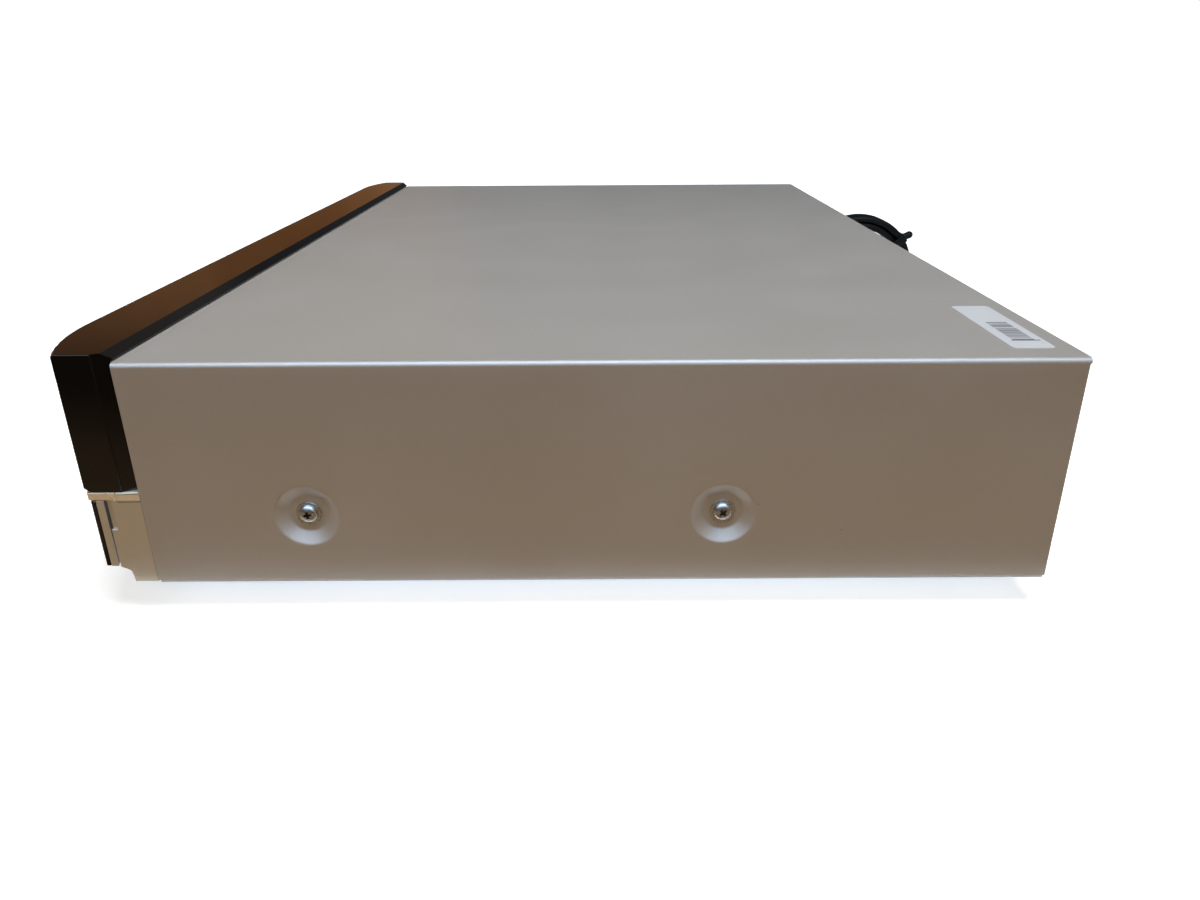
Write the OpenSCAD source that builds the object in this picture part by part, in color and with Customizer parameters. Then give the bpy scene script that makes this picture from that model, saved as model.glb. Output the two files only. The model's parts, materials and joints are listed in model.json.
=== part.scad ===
// Disc and cassette player: a folded steel lid over a full-width steel pan, a glossy black
// upper front and a silver lower front with a flip-down door, a disc drive, a cassette deck
// and a tied mains lead behind the rear panel.
// X runs across the case, the front faces -Y, and the feet stand at Z = 0.

/* [Case] */
// Width of the case
case_w = 430; // [424:1:450]
// Depth of the lid, from its front edge to its rear edge
lid_d = 279; // [276:1:300]
// Height of the lid's sides
lid_h = 71.1; // [70.8:0.1:80]
// Thickness of the steel sheet
sheet = 0.8; // [0.6:0.1:1]
// Outer radius of the lid's two folds
fold_r = 1.5; // [1.2:0.1:3]
// How far the rear panel stands in from the lid's rear edge
panel_in = 2.6; // [1:0.1:5]
// Height of the feet
foot_h = 10; // [9:0.5:14]
// Radius of a foot where it meets the pan
foot_r = 11; // [8:0.5:14]
// Distance of the feet from the case's sides
foot_in = 35; // [20:1:50]

/* [Side screws] */
// Height of the side screws above the lid's lower edge
screw_z = 22.2; // [18:0.1:26]
// Distance of the front side screw from the lid's front edge
screw_y = 49.5; // [30:0.5:70]
// Spacing of the two side screws
screw_pitch = 127; // [100:1:180]
// Radius of the screw shank
screw_r = 1.5; // [1.2:0.1:2]
// Radius of the screw's washer head
head_r = 3.9; // [3.4:0.1:5]
// Outer radius of the dimple pressed into the lid
dimple_r = 10; // [9:0.1:13]
// Radius of the dimple's flat floor
dimple_floor_r = 6.5; // [5.5:0.1:8]
// Depth of the dimple
dimple_depth = 2.5; // [1.8:0.1:3]

/* [Front] */
// How far the front bows out ahead of the lid, at its middle
front_bow = 24.2; // [23.8:0.1:28]
// Plan radius of the front's swept-back corners
bow_r = 80; // [75:1:120]
// Width over which each corner sweeps back
sweep_w = 34.5; // [30:0.5:36]
// Height of the upper front's lower edge above the lid's edge
fascia_z = 30.5; // [30.3:0.1:31]
// Rise of the upper front above the lid
fascia_rise = 2.6; // [2:0.1:4]
// Wall thickness of the upper front
fascia_wall = 2.4; // [2:0.1:2.6]
// Rounding of the upper front's crown edge
crown_r = 1.2; // [0.6:0.1:2]
// Rounding of the upper front's lower edge
chin_r = 3; // [1:0.1:4]
// Thickness of the silver lip under the upper front
lip_t = 2.5; // [2:0.1:2.8]
// Wall thickness of the silver front's end caps
cap_wall = 2.5; // [2:0.1:3]

/* [Door] */
// Lower edge of the door above the lid's edge
door_z = 5.2; // [5:0.1:6]
// How far the door's black facing stands behind the upper front
trim_in = 1.15; // [0.8:0.05:1.5]
// How far the door's silver body stands behind the upper front
door_in = 2.5; // [2.2:0.05:3]
// Thickness of the door's silver body
door_t = 2.14; // [1.8:0.02:2.4]
// Radius of the door's hinge pins
door_pin_r = 1.25; // [1:0.05:1.5]

/* [Cassette slot] */
// Middle of the cassette slot across the case
slot_x = -94; // [-97:0.5:-92]
// Width of the cassette flap
flap_w = 192; // [191:0.5:194]
// Lower edge of the cassette flap above the lid's edge
flap_z = 35.4; // [35.2:0.1:36]
// Height of the cassette flap
flap_h = 31.2; // [30.6:0.1:31.6]
// Thickness of the cassette flap
flap_t = 2; // [1.6:0.1:2.4]
// Width of a cassette
tape_w = 188; // [186:0.5:188.5]
// Height of a cassette
tape_h = 25; // [24:0.5:25.2]
// Travel of the cassette carriage into the deck
carriage_travel = 45; // [40:1:47]
// Travel of the cassette holder down onto the reels
holder_travel = 20; // [16:0.5:20]

/* [Disc drive] */
// Middle of the disc drive across the case
drive_x = 108; // [104:0.5:110]
// Width of the disc tray
tray_w = 130; // [128:0.5:132]
// Room between the tray's side and the outside of the disc drive
drive_side = 8; // [7.5:0.1:9]
// Travel of the disc tray
tray_travel = 140; // [130:1:142]
// How far the tray's front piece reaches past the tray on each side
tray_front_side = 5; // [4:0.5:5.5]
// Height of the tray's front piece
tray_front_h = 14; // [12:0.5:14.4]
// Radius of the disc recess
disc_r = 60.5; // [60.2:0.1:62]
// Pitch radius of the tray's pinion
tray_gear_r = 8; // [7:0.5:9]
// Radius of the turntable
turntable_r = 14; // [12:0.5:15]
// Travel of the laser sled
sled_travel = 38; // [34:1:38]

/* [Controls] */
// Travel of the push buttons
key_travel = 1; // [0.6:0.1:1.2]
// How far the buttons stand proud of the upper front
key_proud = 1; // [0.6:0.1:2]
// Gap round a button in its hole
key_gap = 0.25; // [0.2:0.05:0.4]
// Width of the buttons beside the display
key_w = 20; // [16:0.5:22]
// Height of the buttons beside the display
key_h = 5; // [4:0.1:5.4]
// Radius of the power button
power_r = 6; // [4.5:0.1:7]
// Width of the display window
window_w = 104; // [90:1:110]
// Height of the display window
window_h = 12; // [10:0.5:12.4]

/* [Sockets] */
// Outer radius of a phono socket's shell
rca_r = 4.15; // [4.1:0.01:4.2]
// Length of a phono socket's shell
rca_len = 7.5; // [7:0.5:9]
// Spacing of the phono sockets
rca_pitch = 14; // [13.5:0.5:16]
// Radius of the aerial sockets' threaded barrels
aerial_r = 4.75; // [4.5:0.05:4.8]
// How far the aerial sockets stand out of the rear panel
aerial_len = 13.6; // [10:0.1:14]

/* [Sticker] */
// Length of the sticker on the lid
label_w = 50.8; // [40:0.1:60]
// Depth of the sticker on the lid
label_d = 12.7; // [10:0.1:15]

/* [Hidden] */
$fn = 64;
eps = 0.01;
seat = 0.3;
run_fit = 0.05;

// The case. Inner modules measure from the middle of the lid's lower front edge.
half_w = case_w / 2;
aerial_out = aerial_len - panel_in;
total_d = key_proud + front_bow + lid_d + aerial_out;
lid_y = key_proud + front_bow - total_d / 2;
lid_z = foot_h + sheet;
panel_y = lid_d - panel_in;
panel_back = panel_y - sheet;
roof_z = lid_h - sheet;
flange_x = half_w - sheet - dimple_depth;
feet_y = [30, lid_d - 30];
rear_screws = [[10 - half_w, 8], [-20, roof_z - 6.3], [half_w - 10, 8]];

// The front
bow_x = half_w - sweep_w;
bow_y = bow_r - front_bow;
fascia_top = lid_h + fascia_rise;
fascia_h = fascia_top - fascia_z;
fascia_back = 0.15;
frame_y = [-4, -2];
lip_z = fascia_z - lip_t;
door_top = lip_z - seat;
door_h = door_top - door_z;
cap_y = -10.9;
panel_face = -9.1;
panel_t = 2;
door_pivot = [cap_y + 0.5, door_z - 1];
door_lug_x = 184;
door_lug_t = 5;
hinge_x = [door_lug_x + door_lug_t / 2 + 0.4, door_lug_x + door_lug_t / 2 + 5.4];
skin_y = fascia_wall - front_bow;

// The cassette slot and deck
flap_face = 0.2 - front_bow;
flap_r = 2.2;
flap_pin_r = 1.3;
flap_pivot = [flap_face + flap_t + 1.6, flap_z + flap_h - flap_r];
flap_x = [slot_x - flap_w / 2, slot_x + flap_w / 2];
holder_z = flap_z - 0.1;
holder_y = [14, 104];
holder_x = tape_w / 2 + 0.7;
slide_x = holder_x + sheet + 0.5;
bracket_x = slide_x + 1 + 0.8;
deck_z = 14.2;
deck_y = [12, 226];
reel_y = 104;
reel_gap = 46.3;
drum_at = [slot_x, 190, 18];
drum_r = 31;
drum_h = 12;
drum_tilt = 5.9;
capstan_at = [slot_x + 49, 160];
slide_pins = [24, 92];
drop_pins = [30, 96];
slide_pin_z = 58;
drop_pin_z = 50;

// The disc drive
tray_front_w = tray_w + 2 * tray_front_side;
drive_edge = tray_w / 2 + drive_side;
drive_z = 33;
drive_y = [4, 196];
rail_z = 49;
tray_z = 52;
tray_top = 58.8;
tray_y = [-20, 168];
disc_y = 50;
tray_front_z = tray_z - 1.7;
gear_z = tray_front_z + 0.3;
gear_h = 2.7;
gear_teeth = 2 * tray_gear_r;
groove_x = drive_x - tray_w / 2 + 1.5;
groove_z = gear_z + gear_h + seat;
tray_gear_at = [groove_x + tray_gear_r + 1.1, 12];
rack_x = tray_gear_at[0] + tray_gear_r;
rack_bar = 4;
bridge_z = 62;
bridge_d = 24;
traverse_z = 41;
traverse_y = [30, 150];
traverse_x = [drive_x - 30, drive_x + 42];
rod_x0 = drive_x - 18;
rod_x1 = drive_x + 18;
rod_z0 = 47;
rod_r = 1.5;
rod_y0 = 64;
rod_y1 = 148;
sled_y = [70, 90];
sled_gear_r = 5;
sled_gear_teeth = 10;
sled_rack_x = drive_x + 28.5;
sled_gear_at = [sled_rack_x + sled_gear_r, 108];
post_x = drive_edge - 4;
post_y = [drive_y[0] + 16, drive_y[1] - 16];

// Boards and sockets
board_z = 8;
board_t = 1.6;
board_top = board_z + board_t;
main_x = [drive_x - 62, drive_x + 62];
main_y = [25, 200];
rear_board_x = [drive_x - 62, drive_x + 90];
power_x = [14 - half_w, slot_x + 94];
power_y = [deck_y[1] + 4.6, panel_back - 7];
power_d = power_y[1] - power_y[0];
jack_x = drive_x - 48;
jack_z = 46;
jack_drop = 18;
jack_block_d = 13;
function jack_at(column, row) = [jack_x + column * rca_pitch, jack_z - row * jack_drop];
yellow_at = [jack_at(0, 0), jack_at(0, 1)];
white_at = [jack_at(1, 0), jack_at(1, 1)];
red_at = [jack_at(2, 0), jack_at(2, 1), jack_at(6, 0)];
green_at = [jack_at(4, 0)];
blue_at = [jack_at(5, 0)];
s_video_at = jack_at(5, 1);
front_jack_x = 118;
front_jack_z = 15;
rca_core = 3.35;
collar_r = 6.4;
collar_t = 1.5;
aerial_x = drive_x + 72;
aerial_z = 50;
aerial_drop = 24;
display_y = -12.5;
window_x = [drive_x + 18 - window_w / 2, drive_x + 18 + window_w / 2];
window_z = 34.6;
flange_h = 0.9;
key_mid = window_z + window_h / 2;
key_row = key_h + 2 * flange_h + 0.4;
key_z = [key_mid + key_row / 2, key_mid - key_row / 2];
key_x0 = 20;
key_x1 = 48;
upper_keys = [[key_x0, key_z[0]], [key_x1, key_z[0]], [key_x1, key_z[1]]];
switch_y = display_y - 3.5;
power_z = 60;
lower_keys = [-150, -125, -100];
lower_key_w = 18;
lower_key_h = 8;
lower_key_z = 15;
rocker_x = -65;
rocker_w = 26;
rocker_pin_r = 0.8;
rocker_y = -6;

// The mains lead, in the part's own frame
cord_d = 4.5;
cord_r = cord_d / 2;
coil_r = 35;
cord_hole_r = 6;
cord_exit_x = -30;
cord_exit_z = 25;
bushing_len = 26;
coil_at = [-143.5, 179.5, coil_r + 0.2];
coil_layers = 2;
coil_columns = 4;
coil_w = coil_columns * cord_d;
coil_inner = coil_r - coil_layers * cord_d;
tie_angle = 126;
tie_tail = 3.2;
lead_points = [
    [-30, 170, 25], [-30, 180, 24], [-33, 192, 20], [-40, 202, 13], [-51, 209, 6],
    [-64, 212, 3], [-80, 212, 2.7], [-96, 212, 2.7], [-110, 212, 4], [-121, 212, 9],
    [-130, 212, 18], [-135, 212, 28], [-136.5, 212, 36]
];
tail_points = [
    [-136.5, 167, 10], [-135, 175, 7.5], [-131, 183, 6], [-124, 190, 5.5],
    [-114, 193.5, 6], [-105, 194, 7], [-98, 194, 8]
];
plug_z = 8;

// A box between three pairs of limits
module block(x, y, z) {
    translate([x[0], y[0], z[0]])
        cube([x[1] - x[0], y[1] - y[0], z[1] - z[0]]);
}

// Round bars along the three axes
module rod_x(r, x, y, z) {
    translate([x[0], y, z]) rotate([0, 90, 0]) cylinder(r = r, h = x[1] - x[0]);
}

module rod_y(r, x, y, z) {
    translate([x, y[0], z]) rotate([-90, 0, 0]) cylinder(r = r, h = y[1] - y[0]);
}

module rod_z(r, x, y, z) {
    translate([x, y, z[0]]) cylinder(r = r, h = z[1] - z[0]);
}

// Places a piece measured from the lid's lower front edge
module from_lid() {
    translate([0, lid_y, lid_z]) children();
}

// Places a piece on each side screw, its Z pointing into the case from the lid's side
module at_side_screws() {
    for (side = [-1, 1], y = [screw_y, screw_y + screw_pitch])
        translate([side * half_w, y, screw_z]) rotate([0, -90 * side, 0]) children();
}

// Cross-section of the lid, drawn in from its outer face by a distance
module lid_outline(inset) {
    w = half_w - inset;
    h = lid_h - inset;
    r = max(fold_r - inset, 0.3);
    translate([-w, -inset]) square([2 * w, h - r + inset]);
    translate([r - w, -inset]) square([2 * (w - r), h + inset]);
    for (side = [-1, 1]) translate([side * (w - r), h - r]) circle(r = r);
}

// Plan of the front: a straight run with swept-back corners, moved in by a distance
module front_plan(inset, back) {
    y0 = inset - front_bow;
    intersection() {
        translate([-half_w, y0]) square([case_w, back - y0]);
        union() {
            for (side = [-1, 1]) translate([side * bow_x, bow_y]) circle(r = bow_r - inset, $fn = 200);
            translate([-bow_x, y0]) square([2 * bow_x, back - y0]);
        }
    }
}

// Sweeps a profile along the front's plan: its X runs inwards from the plan, its Y upwards
module along_front(inset, z) {
    span = asin(sweep_w / bow_r) + 4;
    translate([-bow_x, inset - front_bow, z])
        rotate([90, 0, 90]) linear_extrude(2 * bow_x) children();
    for (side = [0, 1]) mirror([side, 0, 0])
        translate([bow_x, bow_y, z]) rotate([0, 0, -90])
            rotate_extrude(angle = span, $fn = 200)
                translate([bow_r - inset, 0]) mirror([1, 0]) children();
}

// What a rounded edge takes off a square one; the corner lies at the origin. The round
// crosses both faces at a slight angle, as a moulded edge does.
module edge_waste(r, up) {
    mid = 0.96 * r;
    mirror([0, up > 0 ? 0 : 1]) difference() {
        translate([-1, -mid]) square([mid + 1, mid + 1]);
        translate([mid, -mid]) circle(r = r);
    }
}

// ---- Case ----

module top_cover() color("silver") from_lid() difference() {
    union() {
        difference() {
            translate([0, lid_d, 0]) rotate([90, 0, 0]) linear_extrude(lid_d)
                intersection() {
                    lid_outline(0);
                    translate([-half_w, 0]) square([case_w, lid_h]);
                }
            translate([0, lid_d + 1, 0]) rotate([90, 0, 0]) linear_extrude(lid_d + 2)
                lid_outline(sheet);
        }
        at_side_screws() translate([0, 0, sheet / 2])
            cylinder(r1 = dimple_r + 0.4, r2 = dimple_floor_r + sheet / 2, h = dimple_depth + sheet / 2);
    }
    at_side_screws() {
        slope = (dimple_r - dimple_floor_r) / dimple_depth;
        translate([0, 0, -1])
            cylinder(r1 = dimple_r + slope, r2 = dimple_floor_r, h = dimple_depth + 1);
        cylinder(r = screw_r + 0.4, h = 2 * dimple_depth + 1);
    }
}

module bottom_chassis() color("dimgray") from_lid() difference() {
    union() {
        block([-half_w + 0.2, half_w - 0.2], [0.6, lid_d - 1], [-sheet, 0]);
        for (side = [-1, 1])
            translate([side * (flange_x - sheet / 2), 0, 0])
                block([-sheet / 2, sheet / 2], [8, panel_back - 8], [-eps, screw_z + 9]);
        for (x = [drive_x - post_x, drive_x + post_x], y = post_y)
            rod_z(3.5, x, y, [-eps, drive_z]);
        for (x = [main_x[0] + 6, main_x[1] - 6], y = [main_y[0] + 6, main_y[1] - 6])
            rod_z(3, x, y, [-eps, board_z]);
        for (x = [power_x[0] + 6, power_x[1] - 6], y = [power_y[0] + 6, power_y[1] - 6])
            rod_z(3, x, y, [-eps, board_z]);
    }
    at_side_screws() cylinder(r = screw_r + 0.02, h = 3 * dimple_depth);
    // cooling slots under the boards
    for (i = [0:9], x = [power_x[0] + 50, drive_x - 40])
        block([x + i * 8, x + i * 8 + 3], [panel_back - 40, panel_back - 15], [-2, 1]);
}

module rear_panel() color("gray") from_lid() difference() {
    w = half_w - sheet - 0.3;
    top = roof_z - 0.3;
    union() {
        block([-w, w], [panel_back, panel_y], [0, top]);
        block([-w, w], [panel_y - 8, panel_y], [0, sheet]);
        block([-w, w], [panel_y - 8, panel_y], [top - sheet, top]);
    }
    for (p = concat(yellow_at, white_at, red_at, green_at, blue_at))
        rod_y(4.6, p[0], [panel_back - 1, panel_y + 1], p[1]);
    rod_y(6.2, s_video_at[0], [panel_back - 1, panel_y + 1], s_video_at[1]);
    for (z = [aerial_z, aerial_z - aerial_drop])
        rod_y(aerial_r + 0.3, aerial_x, [panel_back - 1, panel_y + 1], z);
    rod_y(cord_hole_r, cord_exit_x, [panel_back - 1, panel_y + 1], cord_exit_z - lid_z);
    for (s = rear_screws) rod_y(screw_r + 0.1, s[0], [panel_back - 1, panel_y + 1], s[1]);
    // cooling slots
    for (i = [0:15], row = [0, 1])
        block([-190 + i * 8, -187 + i * 8], [panel_back - 1, panel_y + 1],
              [40 - row * 22, 56 - row * 22]);
}

module feet() color("black") {
    for (side = [-1, 1], y = feet_y)
        translate([side * (half_w - foot_in), lid_y + y, 0])
            cylinder(r1 = foot_r - 1, r2 = foot_r, h = foot_h);
}

// A screw with a washer head, its Z pointing into the case from the head's seat
module washer_screw(len) {
    difference() {
        union() {
            translate([0, 0, -0.8]) cylinder(r = head_r, h = 0.8);
            translate([0, 0, -1.6]) cylinder(r1 = head_r * 0.55, r2 = head_r * 0.76, h = 0.8);
            cylinder(r = screw_r, h = len);
        }
        for (a = [0, 90]) rotate(a) translate([-1.7, -0.35, -2]) cube([3.4, 0.7, 1.4]);
    }
}

module case_screws() color("lightgray") from_lid() {
    at_side_screws() translate([0, 0, dimple_depth]) washer_screw(8);
    for (s = rear_screws) translate([s[0], panel_y, s[1]]) rotate([90, 0, 0]) washer_screw(6);
}

module asset_label() color("white") from_lid()
    block([half_w - 9.7 - label_w, half_w - 9.7], [lid_d - 5.8 - label_d, lid_d - 5.8],
          [lid_h, lid_h + 0.15]);

// ---- Front ----

// Side view of a silver end cap
module cap_outline() {
    polygon([
        [-fascia_back, -0.4], [-7.3, -0.4], [-7.8, 3.1], [-8.1, 3.6], [cap_y, door_z - 0.3],
        [cap_y, 18], [panel_face, 18], [panel_face, lip_z], [-fascia_back, lip_z]
    ]);
}

module front_frame() color("silver") from_lid() difference() {
    inner = half_w - fascia_wall - 0.2;
    union() {
        block([-inner, inner], frame_y, [-0.4, roof_z - 0.5]);
        translate([0, 0, lip_z]) linear_extrude(lip_t) front_plan(0.6, frame_y[1]);
        for (side = [-1, 1]) translate([side * (half_w - cap_wall / 2), 0, 0])
            rotate([90, 0, 90]) translate([0, 0, -cap_wall / 2]) linear_extrude(cap_wall) cap_outline();
        for (side = [-1, 1]) translate([side * (half_w - cap_wall / 2), 0, 0])
            block([-cap_wall / 2, cap_wall / 2], [-7, -fascia_back], [lip_z, fascia_z]);
        block([-half_w + 1, half_w - 1], [-7.3, frame_y[1]], [-0.4, 1.6]);
        for (x = [-180, -60, 60, 180]) block([x - 7, x + 7], [frame_y[0], 12], [0, 1.5]);
        for (side = [-1, 1]) {
            x = side * (hinge_x[0] + hinge_x[1]) / 2;
            w = (hinge_x[1] - hinge_x[0]) / 2;
            block([x - w, x + w], [door_pivot[0], frame_y[1]], [1, door_pivot[1] + 2.6]);
            rod_x(2.6, [x - w, x + w], door_pivot[0], door_pivot[1]);
        }
    }
    for (side = [-1, 1])
        rod_x(door_pin_r + run_fit, [side * door_lug_x - 9, side * door_lug_x + 9],
              door_pivot[0], door_pivot[1]);
    // cassette mouth, tray mouth and display board
    block([flap_x[0] - 4.5, flap_x[1] + 4.5], [frame_y[0] - 1, frame_y[1] + 1],
          [flap_z - 0.9, roof_z - 1.5]);
    block([drive_x - tray_front_w / 2 - 0.6, drive_x + tray_front_w / 2 + 0.6],
          [frame_y[0] - 1, frame_y[1] + 1], [tray_front_z - 3, tray_front_z + tray_front_h + 1]);
}

// Side view of the upper front's solid form: the front face at X = 0, its depth along X
module fascia_outline() difference() {
    square([front_bow, fascia_h]);
    translate([0, fascia_h]) edge_waste(crown_r, 1);
    edge_waste(chin_r, -1);
}

module upper_fascia() color([0.09, 0.07, 0.07]) from_lid() difference() {
    ear_w = 3.2;
    union() {
        difference() {
            intersection() {
                along_front(0, fascia_z) fascia_outline();
                block([-half_w, half_w], [-front_bow - 1, -fascia_back], [fascia_z - 1, fascia_top + 1]);
            }
            // hollow, open to the rear
            translate([0, 0, fascia_z + fascia_wall]) linear_extrude(fascia_h - 2 * fascia_wall)
                intersection() {
                    front_plan(fascia_wall, 1);
                    translate([fascia_wall - half_w, -front_bow])
                        square([case_w - 2 * fascia_wall, front_bow + 1]);
                }
            // the floor stops short of the frame's plate
            block([fascia_wall - half_w, half_w - fascia_wall], [frame_y[0] - 0.2, 1],
                  [fascia_z - 1, fascia_z + 2 * fascia_wall]);
        }
        // ears for the flap's pins
        for (x = [flap_x[0] - 0.3 - ear_w, flap_x[1] + 0.3])
            block([x, x + ear_w], [skin_y - 0.6, flap_pivot[0] + 2.6],
                  [flap_pivot[1] - 2.6, fascia_top - fascia_wall + eps]);
    }
    // slope from the crown down to the lid
    translate([-half_w - 1, 0, 0]) rotate([90, 0, 90]) linear_extrude(case_w + 2)
        polygon([[-2.8, fascia_top], [0.1, lid_h + 0.4], [0.1, fascia_top + 1], [-2.8, fascia_top + 1]]);
    block([flap_x[0] - 0.3, flap_x[1] + 0.3], [-front_bow - 1, skin_y + 1],
          [flap_z - 0.4, flap_z + flap_h + 0.4]);
    rod_x(flap_pin_r + run_fit, [flap_x[0] - 8, flap_x[1] + 8], flap_pivot[0], flap_pivot[1]);
    block([drive_x - tray_front_w / 2 - 0.4, drive_x + tray_front_w / 2 + 0.4],
          [-front_bow - 1, skin_y + 1], [tray_front_z - 0.4, tray_front_z + tray_front_h + 0.4]);
    block(window_x, [-front_bow - 1, skin_y + 1], [window_z, window_z + window_h]);
    for (k = upper_keys)
        block([k[0] - key_w / 2 - key_gap, k[0] + key_w / 2 + key_gap], [-front_bow - 1, skin_y + 1],
              [k[1] - key_h / 2 - key_gap, k[1] + key_h / 2 + key_gap]);
    rod_y(power_r + key_gap, key_x0, [-front_bow - 1, skin_y + 1], power_z);
}

module control_panel() color([0.1, 0.1, 0.1]) from_lid() difference() {
    back = panel_face + panel_t;
    w = half_w - cap_wall - 0.2;
    ear_z = 7.5;
    union() {
        block([-w, w], [panel_face, back], [1.6, lip_z]);
        for (x = [-165, -40, 40, 95, 165]) block([x - 2, x + 2], [back - eps, frame_y[0]], [3, 26]);
        for (z = [lower_key_z - ear_z, lower_key_z + ear_z])
            block([rocker_x - 2, rocker_x + 2], [back - eps, rocker_y + 1.2], [z - 1.5, z + 1.5]);
        rod_z(rocker_pin_r, rocker_x, rocker_y, [lower_key_z - ear_z, lower_key_z + ear_z]);
    }
    for (x = lower_keys)
        block([x - lower_key_w / 2 - key_gap, x + lower_key_w / 2 + key_gap], [panel_face - 1, back + 0.5],
              [lower_key_z - lower_key_h / 2 - key_gap, lower_key_z + lower_key_h / 2 + key_gap]);
    block([rocker_x - 5, rocker_x + 5], [panel_face - 1, back], [lower_key_z - 5, lower_key_z + 5]);
    for (side = [-1, 1])
        block([side * door_lug_x - 12, side * door_lug_x + 12], [panel_face - 1, back + 1], [0, 10.5]);
    for (i = [0:2]) rod_y(4.6, front_jack_x + i * rca_pitch, [panel_face - 1, back + 1], front_jack_z);
}

// A strip of the door that follows the front's plan
module door_strip(near, far) {
    translate([0, 0, door_z]) linear_extrude(door_h) difference() {
        front_plan(near, cap_y);
        front_plan(far, cap_y + 1);
    }
}

module control_door() color("silver") from_lid() {
    door_strip(door_in, door_in + door_t);
    for (side = [-1, 1]) {
        x = side * door_lug_x;
        w = door_lug_t / 2;
        block([x - w, x + w], [door_in + door_t - front_bow - 0.3, door_pivot[0] + 0.5],
              [door_z, door_z + 3]);
        rod_x(2.4, [x - w, x + w], door_pivot[0], door_pivot[1]);
        rod_x(door_pin_r, [side > 0 ? x : -hinge_x[1] + 0.2, side > 0 ? hinge_x[1] - 0.2 : x],
              door_pivot[0], door_pivot[1]);
    }
}

module door_trim() color([0.09, 0.07, 0.07]) from_lid() door_strip(trim_in, door_in);

module cassette_flap() color([0.09, 0.07, 0.07]) from_lid() {
    // the flap's face follows the front where it begins to sweep back
    translate([0, 0, flap_z]) linear_extrude(flap_h) intersection() {
        front_plan(flap_face + front_bow, 0);
        translate([flap_x[0], flap_face]) square([flap_w, flap_t]);
    }
    rod_x(flap_r, flap_x, flap_pivot[0], flap_pivot[1]);
    block(flap_x, [flap_face + flap_t / 2, flap_pivot[0]], [flap_pivot[1], flap_z + flap_h]);
    rod_x(flap_pin_r, [flap_x[0] - 3, flap_x[1] + 3], flap_pivot[0], flap_pivot[1]);
}

module display_window() color([0.12, 0.13, 0.15]) from_lid() {
    gap = 0.15;
    block([window_x[0] + gap, window_x[1] - gap], [0.1 - front_bow, skin_y + 0.1],
          [window_z + gap, window_z + window_h - gap]);
    block([window_x[0] - 1.5, window_x[1] + 1.5], [skin_y, skin_y + 1],
          [window_z - 1.4, window_z + window_h + 1.4]);
}

module display_board() color("darkgreen") from_lid() {
    block([10, window_x[1] + 8], [display_y, display_y + board_t], [33.4, 48.6]);
    for (x = [14, 62, window_x[1] + 4])
        rod_y(2.2, x, [display_y + board_t - eps, frame_y[0]], 41);
    // display tube and the keys' switches
    block([window_x[0] + 6, window_x[1] - 6], [display_y - 4.5, display_y + eps],
          [window_z + 0.5, window_z + window_h - 0.5]);
    for (k = upper_keys)
        block([k[0] - 3, k[0] + 3], [switch_y, display_y + eps], [k[1] - 2.6, k[1] + 2.6]);
}

// ---- Buttons ----

// A push button in a panel: a cap that stands proud, a flange behind the panel and a stem
// that ends just short of what it presses
module push_key(at, size, face, wall, proud, stop) {
    w = size[0] / 2;
    h = size[1] / 2;
    back = face + wall + seat;
    block([at[0] - w, at[0] + w], [face - proud, back + eps], [at[1] - h, at[1] + h]);
    block([at[0] - w - 1, at[0] + w + 1], [back, back + 0.9], [at[1] - h - flange_h, at[1] + h + flange_h]);
    rod_y(1.5, at[0], [back + 0.9 - eps, stop - key_travel - seat], at[1]);
}

module power_button() color("silver") from_lid() {
    back = skin_y + seat;
    rod_y(power_r, key_x0, [-front_bow - key_proud, back + eps], power_z);
    rod_y(power_r + 1.2, key_x0, [back, back + 1], power_z);
    rod_y(2, key_x0, [back + 1 - eps, frame_y[0] - key_travel - seat], power_z);
}

module upper_key(i) color("silver") from_lid()
    push_key(upper_keys[i], [key_w, key_h], -front_bow, fascia_wall, key_proud, switch_y);

module lower_key(i) color("gray") from_lid()
    push_key([lower_keys[i], lower_key_z], [lower_key_w, lower_key_h], panel_face, panel_t, 1.6,
             frame_y[0]);

module eject_button() upper_key(0);

module open_close_button() upper_key(1);

module play_button() upper_key(2);

module rewind_button() lower_key(0);

module forward_button() lower_key(1);

module record_button() lower_key(2);

module channel_rocker() color("gray") from_lid() difference() {
    union() {
        block([rocker_x - rocker_w / 2, rocker_x + rocker_w / 2], [panel_face - 3.2, panel_face - 1.1],
              [lower_key_z - lower_key_h / 2, lower_key_z + lower_key_h / 2]);
        block([rocker_x - 2, rocker_x + 2], [panel_face - 1.2, rocker_y], [lower_key_z - 4, lower_key_z + 4]);
        rod_z(1.5, rocker_x, rocker_y, [lower_key_z - 4, lower_key_z + 4]);
    }
    rod_z(rocker_pin_r + run_fit, rocker_x, rocker_y, [lower_key_z - 5, lower_key_z + 5]);
}

// ---- Sockets ----

// Places a socket piece on the rear panel, its Z pointing out of the case
module on_rear(places) {
    for (p = places) translate([p[0], panel_y, p[1]]) rotate([-90, 0, 0]) children();
}

// Places a socket piece on the control panel, its Z pointing forwards
module on_front(i) {
    translate([front_jack_x + i * rca_pitch, panel_face, front_jack_z]) rotate([90, 0, 0]) children();
}

// Coloured insert of a phono socket, with the hole for the plug's centre pin
module rca_insert(wall) {
    difference() {
        union() {
            cylinder(r = collar_r, h = collar_t);
            cylinder(r = rca_core, h = collar_t + rca_len - 0.6);
            translate([0, 0, -wall]) cylinder(r = 4.5, h = wall + eps);
        }
        translate([0, 0, collar_t]) cylinder(r = 1.6, h = rca_len);
    }
}

module rca_shell() {
    translate([0, 0, collar_t]) difference() {
        cylinder(r = rca_r, h = rca_len);
        translate([0, 0, -1]) cylinder(r = rca_core + 0.03, h = rca_len + 2);
    }
}

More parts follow.
